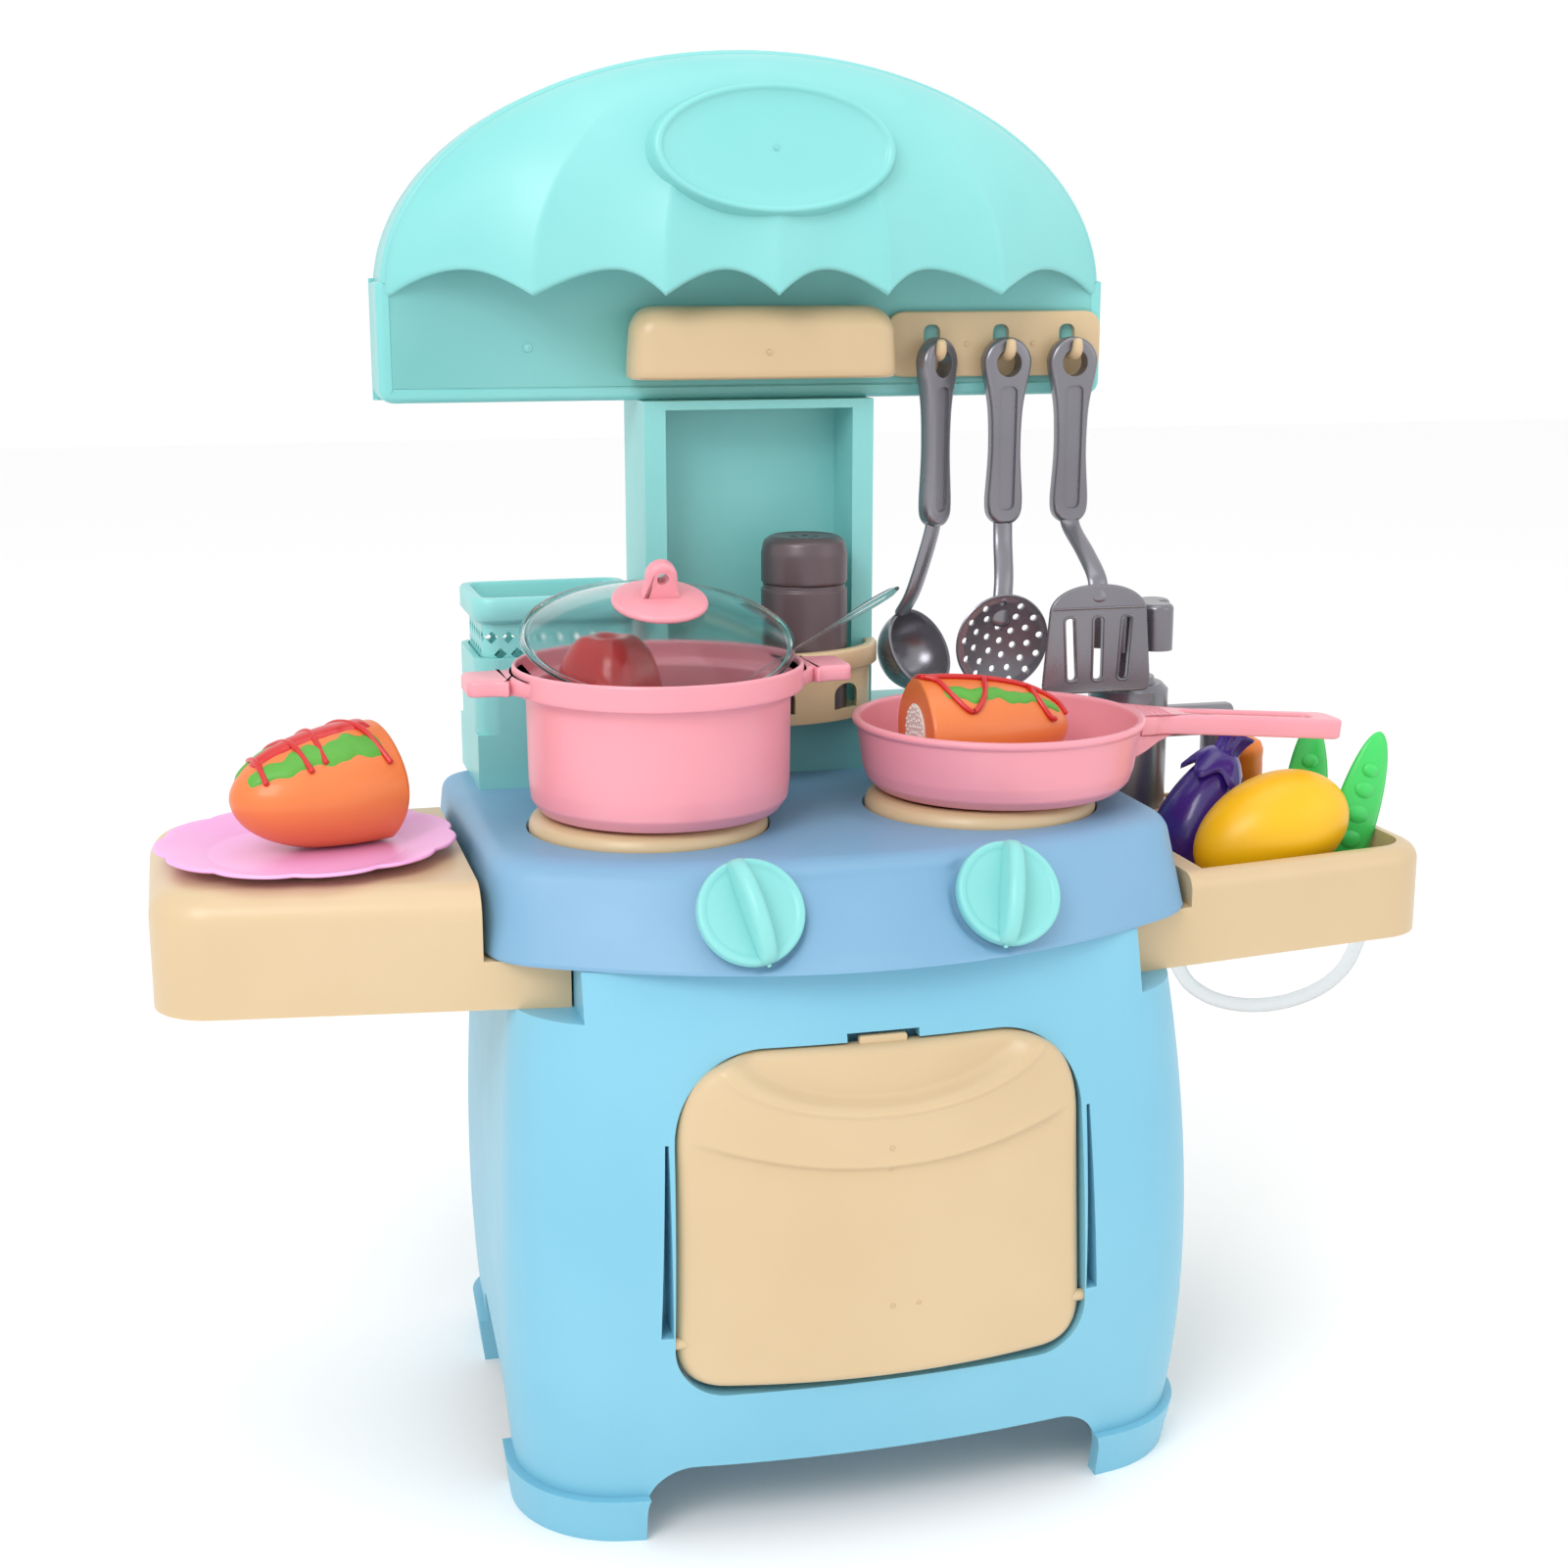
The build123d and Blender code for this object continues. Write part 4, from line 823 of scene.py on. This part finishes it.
def make_pepper():
    """The red pepper: four lobes and a dimpled crown."""
    rings = []
    for a in steps(-math.pi / 2, math.pi / 2, 30):
        ring = []
        for b in steps(0, 2 * math.pi, 60)[:-1]:
            lobe = 1 + 0.07 * math.cos(4 * b)
            reach = 22 * lobe * math.cos(a) ** 0.8
            drop = 6 * math.exp(-(reach / 7) ** 2) if a > 0 else 0
            ring.append((reach * math.cos(b), reach * math.sin(b), 35 * math.sin(a) - drop))
        rings.append(ring)
    body = moved(skin(rings, cap_start=False, cap_end=False), at(-87, 1, 323.3))
    make_piece("red_pepper", [body], "red_plastic", "pepper", ["pot_pepper"])


def make_spoon():
    """The clear spoon: a leaf-shaped end, a thin neck and a shallow bowl."""
    end = Vector((39, 1, 370))
    tip = Vector((-66, -36, 325))
    path = [end.lerp(tip, share) for share in steps(0, 1, 40)]
    radii = []
    for share in steps(0, 1, 40):
        leaf = 3.4 * math.exp(-((share - 0.1) / 0.16) ** 2)
        radii.append(1.5 + leaf * smooth(share / 0.03 + 0.5))
    handle = tube(path, radii, 20, flat=0.42, side=(0.3, -1, 0.4))
    along = (tip - end).normalized()
    turn = along.to_track_quat("Z", "Y").to_matrix().to_4x4()
    bowl = moved(ellipsoid((4, 10, 15), 20, 40), Matrix.Translation(tip + along * 6) @ turn)
    make_piece("clear_spoon", [handle, bowl], "clear_plastic", "spoon", ["spoon"])


# ---------------------------------------------------------------- pan, plate and filled buns
PAN_X = 83
PAN_Y = -11


def make_pan():
    """The frying pan: flared wall with a rolled rim and a slotted handle on a gusset."""
    profile = [(0, 283.3), (47, 283.3), (53.5, 284.4), (57.6, 288.4), (59.4, 294), (62, 311.4), (63.6, 312.2),
               (64.2, 313.6), (63.6, 315), (61.2, 315.2), (60.2, 314.2), (59.8, 311), (57, 294), (54.6, 289),
               (50, 286.7), (0, 286.3)]
    bowl = moved(lathe(profile, 144, rounding=1.0), at(PAN_X, PAN_Y, 0))
    make_piece("pan_bowl", [bowl], "pink_plastic", "pan", ["pan"], sharp=50)
    place = at(PAN_X + 60, PAN_Y, 314, (0, 4.7, 0))
    edge = [(1, -18, 0), (8, -15, 0), (20, -10.8, 0), (60, -10, 0), (96, -11, 0)]
    side = [spot.xy for spot in bend(edge, 6)]
    tip = [(98 + 6 * math.sin(a), -5 - 6 * math.cos(a)) for a in steps(0.2, math.pi / 2, 6)]
    near = [(1, 0)] + [tuple(spot) for spot in side] + tip
    outline = near + [(x, -y) for x, y in reversed(near[1:])]
    slot = round_off([(28, 0), (28, -4.6), (91, -4.6), (91, 4.6), (28, 4.6)], 4.2, count=8)
    handle = slotted(outline, slot, -8.6, 0.4, 1.6)
    rings = []
    for x, half, low in ((0.6, 17, -21), (6, 15.5, -18), (14, 12, -12.5), (24, 9.5, -8)):
        ring = [(x, -half, -1.5), (x, -half * 0.9, low * 0.85), (x, -half * 0.6, low), (x, half * 0.6, low),
                (x, half * 0.9, low * 0.85), (x, half, -1.5)]
        rings.append(ring)
    gusset = skin(rings)
    ribs = [tube([(x, -8.5, 0.35), (x, 8.5, 0.35)], 0.55, 10, side=(0, 0, 1)) for x in (9, 12, 15, 18)]
    make_piece("pan_handle", [moved(handle, place)], "pink_plastic", "pan", sharp=50)
    make_piece("pan_gusset", [moved(part, place) for part in [gusset] + ribs], "pink_plastic", "pan")


def make_plate():
    """The pink plate: a petalled rim round a shallow well."""
    def petals(radius, height, angle):
        wave = 1 - 0.045 * (1 - abs(math.sin(5.5 * angle))) ** 1.6
        return radius * mix(1, wave, smooth((radius - 40) / 22))
    profile = [(0, 268.3), (38, 268.3), (44, 269.2), (61.4, 273.2), (62, 274), (61.4, 274.8), (58, 274.3),
               (44, 270.9), (40.5, 269.9), (0, 269.9)]
    part = moved(lathe(profile, 176, rounding=0.6, wave=petals), at(-214.5, 7, 0))
    make_piece("petal_plate", [part], "plate_plastic", "plate", ["plate"], sharp=60)


def bun_point(size, along, turn, lift=0.0):
    """A point on a half bun: along runs from the cut face, 0, to the tip, 1; turn is degrees from the top."""
    length, half_width, half_height = size
    level = math.sqrt(max(1 - along ** 2.4, 0))
    angle = math.radians(turn)
    square = 1 + 0.05 * math.cos(2 * angle) ** 2
    y = half_width * level * math.sin(angle) * square
    z = half_height - 2 + half_height * level * math.cos(angle) * square
    out = Vector((0.35 * along, math.sin(angle), math.cos(angle))).normalized() * lift
    return Vector((length * along, y, max(z, 0.4))) + out


def bun_strip(size, along_low, along_high, turn_low, turn_high, lift, wobble=0.0, count=40):
    """A raised filling laid on the bun between two turns, with wavy edges and rounded sides."""
    rings = []
    for share in steps(0, 1, count):
        along = mix(along_low, along_high, share)
        wave = wobble * math.sin(share * 19) + 0.5 * wobble * math.sin(share * 43 + 1)
        fade = min(smooth(share / 0.06), smooth((1 - share) / 0.06))
        ring = []
        for across in steps(0, 1, 10):
            turn = mix(turn_low + wave, turn_high + wave * 0.6, across)
            crown = lift * fade * (1 - abs(2 * across - 1) ** 3) - 0.4
            ring.append(tuple(bun_point(size, along, turn, crown)))
        for across in steps(1, 0, 4):
            turn = mix(turn_low + wave, turn_high + wave * 0.6, across)
            ring.append(tuple(bun_point(size, along, turn, -1.6)))
        rings.append(ring)
    return skin(rings)


def make_bun(name, size, place, body, nodes, lettuce, sauce, strips):
    """Half of a filled bun: body, lettuce, sauce and the fastener on its cut face."""
    cad_body, cad_velcro = nodes
    rings = []
    for along in [0.0, 0.004, 0.012] + steps(0.03, 0.9, 30) + [0.93, 0.96, 0.98, 0.99, 0.996, 0.9995]:
        shrink = 1 - 0.03 * (1 - smooth(along / 0.012))
        ring = []
        for turn in steps(-180, 180, 72)[:-1]:
            spot = bun_point(size, along, turn)
            ring.append((spot.x, spot.y * shrink, mix(size[2] - 2, spot.z, shrink)))
        rings.append(ring)
    make_piece(f"{name}_bread", [moved(skin(rings), place)], "bun_plastic", body, [cad_body], sharp=50)
    greens = [moved(bun_strip(size, *spec), place) for spec in lettuce]
    make_piece(f"{name}_lettuce", greens, "lettuce_plastic", body)
    reds = []
    for path in sauce:
        line = bend([bun_point(size, along, turn, 0.9) for along, turn in path], 8)
        reds.append(moved(tube(line, 1.25, 12), place))
    reds += [moved(bun_strip(size, *spec), place) for spec in strips]
    make_piece(f"{name}_sauce", reds, "red_plastic", body)
    tufts = []
    for ring_radius, number in ((0, 1), (3, 6), (6, 11), (9, 16), (11.4, 20)):
        for index in range(number):
            angle = 2 * math.pi * index / number + ring_radius
            spot = (-0.4, ring_radius * math.cos(angle), size[2] - 2 + ring_radius * math.sin(angle))
            tufts.append(moved(ellipsoid((1.0, 0.9, 0.9), 6, 8), at(*spot)))
    pad = moved(lathe([(0, -0.3), (12.6, -0.3), (12.9, 0.3), (12.4, 0.7), (0, 0.7)], 48),
                at(0, 0, size[2] - 2, (0, -90, 0)))
    parts = [moved(part, place) for part in tufts + [pad]]
    make_piece(f"{name}_fastener", parts, "velcro", body, [cad_velcro])


def make_buns():
    """One half bun lies in the pan and a wider one on the plate."""
    make_bun("pan_bun", (70, 25, 23), at(47, -6, 286.7), "bun_in_pan", ("pan_bun", "pan_bun_velcro"),
             lettuce=[(0.1, 0.93, -44, -22, 1.3, 3.5), (0.12, 0.9, 24, 44, 1.3, 3.5)],
             sauce=[[(0.02, -5), (0.2, -4), (0.45, -5), (0.7, -4), (0.9, -6), (0.97, -30)],
                    [(0.04, 30), (0.02, -2), (0.1, -14), (0.16, -38), (0.26, -58), (0.36, -40), (0.42, -8),
                     (0.44, 20)],
                    [(0.7, 30), (0.72, -4), (0.74, -30), (0.8, -62), (0.84, -66)]],
             strips=[])
    make_bun("plate_bun", (66, 27, 25), at(-184, 22, 270.8, (0, 0, 205)), "bun_on_plate",
             ("plate_bun", "plate_bun_velcro"),
             lettuce=[(0.08, 0.95, -46, -16, 1.3, 4), (0.08, 0.95, 20, 52, 1.3, 4)],
             sauce=[[(0.1, 60), (0.16, 20), (0.22, -10), (0.26, -40), (0.36, -66), (0.44, -40), (0.46, 0),
                     (0.5, 48)],
                    [(0.6, 54), (0.62, 10), (0.64, -30), (0.7, -58), (0.8, -34), (0.84, 6), (0.86, 52)]],
             strips=[(0.06, 0.88, -12, 16, 1.9, 1.5)])


# ---------------------------------------------------------------- utensils
EYE_HEIGHT = 462.3
EYE_RADIUS = 6.3
HANDLE_BACK = 86
HANDLE_FRONT = 78


def utensil_handle():
    """The moulded handle about x 0 as (plate, cutters): an eye on top and a sunk panel down the front."""
    foot = [(0, -75), (3.5, -74.7), (6.6, -72.5), (8.4, -69)]
    shaft = [(8.8, -63), (8.2, -54), (7.5, -43), (7.5, -32), (8.1, -21), (9.6, -12), (11.2, -5)]
    head = [(12 * math.cos(a), 12 * math.sin(a)) for a in steps(0.05, math.pi / 2, 6)]
    right = [(spot.x, spot.y + EYE_HEIGHT) for spot in bend([(u, v, 0) for u, v in foot + shaft + head], 3)]
    outline = right + [(-u, v) for u, v in reversed(right[1:-1])]
    plate = slab(outline, -HANDLE_BACK, -HANDLE_FRONT, 2.4, both=True)
    eye = moved(rod(EYE_RADIUS, -20, 20, 48), at(0, 82, EYE_HEIGHT, (90, 0, 0)))
    low = EYE_HEIGHT - 68
    high = EYE_HEIGHT - 10.5
    panel = round_off([(-4, low), (4, low), (4.6, high), (-4.6, high)], 3.4)
    sunk = slab(panel, -HANDLE_FRONT - 1.4, -HANDLE_FRONT + 5, 0.1)
    return plate, [[eye], [sunk]]


def bar(path, half_width, half_depth):
    """A flattened bar along a smooth path, wide in X."""
    line = bend(path, 6)
    return tube(line, [half_width] * len(line), 20, flat=half_depth / half_width)


def make_utensil(name, x, turn, head, neck, node, head_cutters=()):
    """A utensil on its hook: handle, neck and head, turned about the hook's upright."""
    place = Matrix.Translation((x, 82, 0)) @ Matrix.Rotation(math.radians(turn), 4, "Z") \
        @ Matrix.Translation((0, -82, 0))
    plate, cutters = utensil_handle()
    make_piece(f"{name}_handle", [moved(plate, place)], "grey_plastic", name, [node],
               cutters=[[moved(part, place) for part in group] for group in cutters])
    make_piece(f"{name}_neck", [moved(part, place) for part in neck], "grey_plastic", name)
    make_piece(f"{name}_head", [moved(part, place) for part in head], "grey_plastic", name,
               cutters=[[moved(part, place) for part in group] for group in head_cutters])


def make_ladle():
    """The soup ladle: a deep bowl that faces forward and up."""
    profile = [(20 * math.sin(a), -20 * math.cos(a)) for a in steps(0, math.pi / 2, 20)]
    profile += [(20.4, 0.6), (19.6, 1.1), (18.6, 0.6)]
    profile += [(18.4 * math.sin(a), -18.4 * math.cos(a)) for a in steps(math.pi / 2, 0, 20)]
    bowl = moved(lathe(profile, 80), at(-4, 87, 329, (62, 0, 0)))
    neck = bar([(0, 82, 396), (-1, 83, 384), (-7, 88, 358), (-8, 94, 347)], 5, 2.4)
    make_utensil("ladle", 84, 33, [bowl], [neck], "ladle")


def make_skimmer():
    """The skimmer: a shallow round dish with drain holes."""
    outer = dome_profile(22.6, 4.5, 14)
    profile = [(r, -z) for r, z in reversed(outer)] + [(23.4, 0.6), (22.8, 1.2), (22, 0.8)]
    profile += [(r * 0.96, -z + 1.6) for r, z in outer[1:]]
    tilt = (97, 0, 0)
    centre = (-7, 64, 334)
    dish = moved(lathe(profile, 96), at(*centre, tilt))
    holes = []
    for ring_radius, number in ((0, 1), (7, 6), (13.6, 11), (19, 13)):
        for index in range(number):
            angle = 2 * math.pi * index / number + ring_radius
            spot = at(ring_radius * math.cos(angle), ring_radius * math.sin(angle), 0)
            holes.append(moved(rod(1.6, -9, 9, 16), at(*centre, tilt) @ spot))
    neck = bar([(0, 82, 396), (-1, 79, 380), (-4, 70, 364), (-6.5, 65.5, 352), (-7.5, 64.6, 344)], 4.8, 2.2)
    make_utensil("skimmer", 118, 3, [dish], [neck], "skimmer", [holes])


def make_spatula():
    """The turner: arched shoulders, three fanned slots with raised rims."""
    right = [(27, 314), (26.6, 320), (24, 350)]
    right += [(24 * math.cos(a) ** 0.9, 350 + 13 * math.sin(a)) for a in steps(0.15, math.pi / 2 - 0.05, 10)]
    outline = [(24, 312)] + right
    outline += [(-u, v) for u, v in reversed(outline)]
    blade = slab(round_off(outline, 2.6, count=4), -42.6, -40.4, 0.9)
    slots = []
    rims = []
    for offset, fan in ((-13.5, -3.5), (0, 0), (13.5, 3.5)):
        place = at(offset, 0, 333, (0, fan, 0))
        shape = [(-2.1, -14.5), (2.1, -14.5), (2.1, 14.5), (-2.1, 14.5)]
        slots.append(moved(slab(round_off(shape, 2.05, count=8), -48, -36, 0.1), place))
        ring = [Vector((u * 1.35, 40.3, v * 1.05)) for u, v in round_off(shape, 2.05, count=8)]
        rims.append(moved(tube(ring + ring[:1], 0.55, 8, side=(0, 1, 0)), place))
    shoulder = tube([(-22.5, 40.3, 352), (22.5, 40.3, 352)], 0.6, 8, side=(0, 0, 1))
    neck = bar([(0, 82, 396), (0, 78, 386), (0, 60, 376), (0, 45, 366), (0, 41.8, 357)], 4.8, 2.0)
    make_utensil("spatula", 151, 0, [blade], [neck], "spatula", [slots])
    make_piece("spatula_rims", [moved(part, at(151, 0, 0)) for part in rims + [shoulder]], "grey_plastic",
               "spatula")


# ---------------------------------------------------------------- rack, bottle and basket
def horseshoe(half_width, depth, wall):
    """Plan of a wall bent round half an ellipse in front of the column."""
    outer = [(half_width * math.cos(a), 83 - depth * math.sin(a)) for a in steps(math.pi, 0, 60)]
    half_width -= wall
    depth -= wall
    return outer + [(half_width * math.cos(a), 83 - depth * math.sin(a)) for a in steps(0, math.pi, 60)]


def make_rack():
    """The spice holder: a thick rim, a thinner wall with arched windows and a floor."""
    wall = slab(horseshoe(51.5, 38, 2.6), 303, 328, 0.5, facing="up")
    windows = []
    for x in (-33, 0, 33):
        arch = [(x - 6.5, 308), (x + 6.5, 308), (x + 6.5, 315)]
        arch += [(x + 6.5 * math.cos(a), 315 + 5 * math.sin(a)) for a in steps(0.2, math.pi - 0.2, 8)]
        arch += [(x - 6.5, 315)]
        windows.append(slab(arch, -71, -20, 0.1))
    make_piece("rack_wall", [wall], "tan_plastic", "kitchen", ["spice_rack"], cutters=[windows])
    rim = slab(horseshoe(55, 41, 5.4), 326.5, 336, 1.3, facing="up")
    floor_plan = [(50 * math.cos(a), 83 - 36.8 * math.sin(a)) for a in steps(math.pi, 0, 60)]
    floor = slab(floor_plan + [(40, 111), (-40, 111)], 303.2, 306, 0.4, facing="up")
    make_piece("rack_rim", [rim, floor], "tan_plastic", "kitchen", sharp=50)


def make_bottle():
    """The spice bottle and its shaker cap with five holes."""
    place = at(17, 69, 0)
    r = 19.8
    jar = [(0, 306.4), (r - 1.5, 306.4), (r, 308), (r, 362.4), (r - 0.9, 363.2), (r - 0.9, 365), (0, 365)]
    body = lathe(jar, 96, rounding=0.5)
    make_piece("bottle_jar", [moved(body, place)], "bottle_plastic", "bottle", ["bottle_body"])
    lid = [(0, 365), (r - 0.9, 365), (r, 365.8), (r, 379), (r - 1.2, 384.4), (r - 5, 387), (r - 7, 386.2),
           (0, 385.6)]
    cap = lathe(lid, 96, rounding=1.2)
    holes = []
    for index in range(5):
        angle = 2 * math.pi * index / 5
        spot = at(5.5 * math.cos(angle), 5.5 * math.sin(angle), 0)
        holes.append(moved(rod(1.5, 382, 392, 18), place @ spot))
    make_piece("bottle_lid", [moved(cap, place)], "bottle_plastic", "bottle", ["bottle_cap"], cutters=[holes])


LATTICE_PITCH = 7.5


def diamond(across, height):
    """The outline of one hole in the lattice."""
    return [(across - 2.9, height), (across, height - 2.9), (across + 2.9, height), (across, height + 2.9)]


def make_basket():
    """The dish basket: plain foot, a band of diagonal lattice and a rolled rim."""
    def ring(grow, z):
        flat = round_off([(-131 - grow, 69 - grow), (-62 + grow, 69 - grow), (-62 + grow, 122 + grow),
                          (-131 - grow, 122 + grow)], 7 + grow)
        return [(x, y, z) for x, y in flat]
    shell = [ring(-1, 280.4), ring(0, 281.4), ring(0, 351), ring(3.2, 352.5), ring(4, 353.6), ring(4, 361.6),
             ring(3, 363), ring(-0.4, 363), ring(-1.8, 361.5), ring(-2, 283.6), ring(-3, 282.8)]
    across = []
    along = []
    for row, z in enumerate((330, 337.5, 345)):
        shift = LATTICE_PITCH / 2 if row % 2 else 0
        for index in range(10):
            x = -127 + index * LATTICE_PITCH + shift
            if x < -65:
                across.append(slab(diamond(x, z), -140, -50, 0.05))
        for index in range(7):
            y = 74 + index * LATTICE_PITCH + shift
            if y < 119:
                points, faces = slab(diamond(y, z), 40, 150, 0.05)
                along.append(([(y, x, z) for x, y, z in points], faces))
    make_piece("lattice_basket", [skin(shell)], "mint_plastic", "basket", ["dish_basket"],
               cutters=[across, along], sharp=45)


# ---------------------------------------------------------------- toy vegetables
def make_eggplant():
    """The eggplant: a pear-shaped body, a lobed calyx and a ribbed stalk."""
    place = at(192, 20, 251, (0, 24, 0))
    profile = []
    for a in steps(-math.pi / 2, math.pi / 2, 36):
        z = 34 * math.sin(a)
        fat = 17 * math.cos(a) ** 0.85 * (1 - 0.16 * smooth((z + 10) / 44))
        profile.append((fat, z))
    fruit = moved(lathe(profile, 64), place)
    make_piece("eggplant_fruit", [fruit], "eggplant_plastic", "eggplant", ["eggplant"])
    rings = []
    for share in steps(0, 1, 14):
        ring = []
        for b in steps(0, 2 * math.pi, 80)[:-1]:
            star = 0.5 + 0.5 * math.cos(5 * b)
            reach = mix(5, 12.5 + 3.5 * star, share)
            height = 38.5 - 12 * share ** 1.7 * (0.7 + 0.5 * star)
            ring.append((reach * math.cos(b), reach * math.sin(b), height))
        rings.append(ring)
    under = [[(x * 0.96, y * 0.96, z - 2.2) for x, y, z in ring] for ring in reversed(rings)]
    leaves = skin(rings + under)
    stalk_rings = []
    for share in steps(0, 1, 12):
        ring = []
        for b in steps(0, 2 * math.pi, 48)[:-1]:
            rib = 1 + 0.06 * math.cos(8 * b)
            reach = (7.2 - 1.6 * math.sin(math.pi * share) + 1.6 * share) * rib * (1 if share < 1 else 0.9)
            ring.append((reach * math.cos(b) + 3 * share, reach * math.sin(b), 34 + 14 * share))
        stalk_rings.append(ring)
    stalk = skin(stalk_rings)
    make_piece("eggplant_stalk", [moved(leaves, place), moved(stalk, place)], "eggplant_plastic", "eggplant",
               ["eggplant_calyx"], sharp=50)


def make_mango():
    """The mango: fuller at one end."""
    place = at(212, -20, 257, (0, -20, 0))
    points, faces = ellipsoid((1, 1, 1), 48, 96)
    shaped = []
    for x, y, z in points:
        full = 1 + 0.06 * x
        shaped.append((38 * x, 23 * y * full, 25 * z * full - 1.2 * x * x))
    make_piece("ripe_mango", [moved((shaped, faces), place)], "mango_plastic", "mango", ["mango"])


def make_pods():
    """Two pea pods with a row of peas swelling their fronts and a ridge down one edge."""
    for name, body, x, y, lean in (("front", "front_pod", 259, -12, 15), ("back", "back_pod", 245, 11, 3)):
        place = at(x, y, 259, (0, lean, 0))
        points, faces = ellipsoid((1, 1, 1), 40, 48)
        shell = [(11.3 * u * (1 - 0.1 * w), 4.2 * v, 40 * w) for u, v, w in points]
        parts = [(shell, faces)]
        for z, size in ((-22, 4.4), (-11, 5), (1, 5.2), (12.5, 4.6), (22, 3.6)):
            parts.append(moved(ellipsoid((size * 1.2, 2.6, size), 16, 24), at(-0.8, -2.6, z)))
        edge = [Vector((11.3 * math.cos(a) * (1 - 0.1 * math.sin(a)), 0, 39.4 * math.sin(a)))
                for a in steps(-math.pi / 2, math.pi / 2, 32)]
        parts.append(tube(edge, 0.8, 8, side=(0, 1, 0)))
        make_piece(f"{name}_pea_pod", [moved(part, place) for part in parts], "pod_plastic", body,
                   [f"pea_pod_{name}"], sharp=60)


def make_carrot():
    """The stub of carrot, ringed and rounded on top."""
    profile = [(0, -35), (3, -34.6), (4.2, -32)]
    for share in steps(0, 1, 30):
        ring = 0.35 * math.exp(-((share * 6 % 1 - 0.5) / 0.12) ** 2)
        profile.append((mix(4.4, 10, share) - ring, mix(-31, 28, share)))
    profile += [(9, 31.5), (6, 33.6), (0, 34)]
    part = moved(lathe(profile, 48), at(232, 45, 252, (0, -6, 0)))
    make_piece("carrot_stub", [part], "orange_plastic", "carrot", ["carrot"], sharp=60)


make_camera()
make_stage()
make_hose()
dress_cad()
make_canopy()
make_badge()
make_hood()
make_hook_rail()
make_stove()
make_burners()
make_knobs()
make_door()
make_pot()
make_lid()
make_pepper()
make_spoon()
make_pan()
make_plate()
make_buns()
make_ladle()
make_skimmer()
make_spatula()
make_rack()
make_bottle()
make_basket()
make_eggplant()
make_mango()
make_pods()
make_carrot()
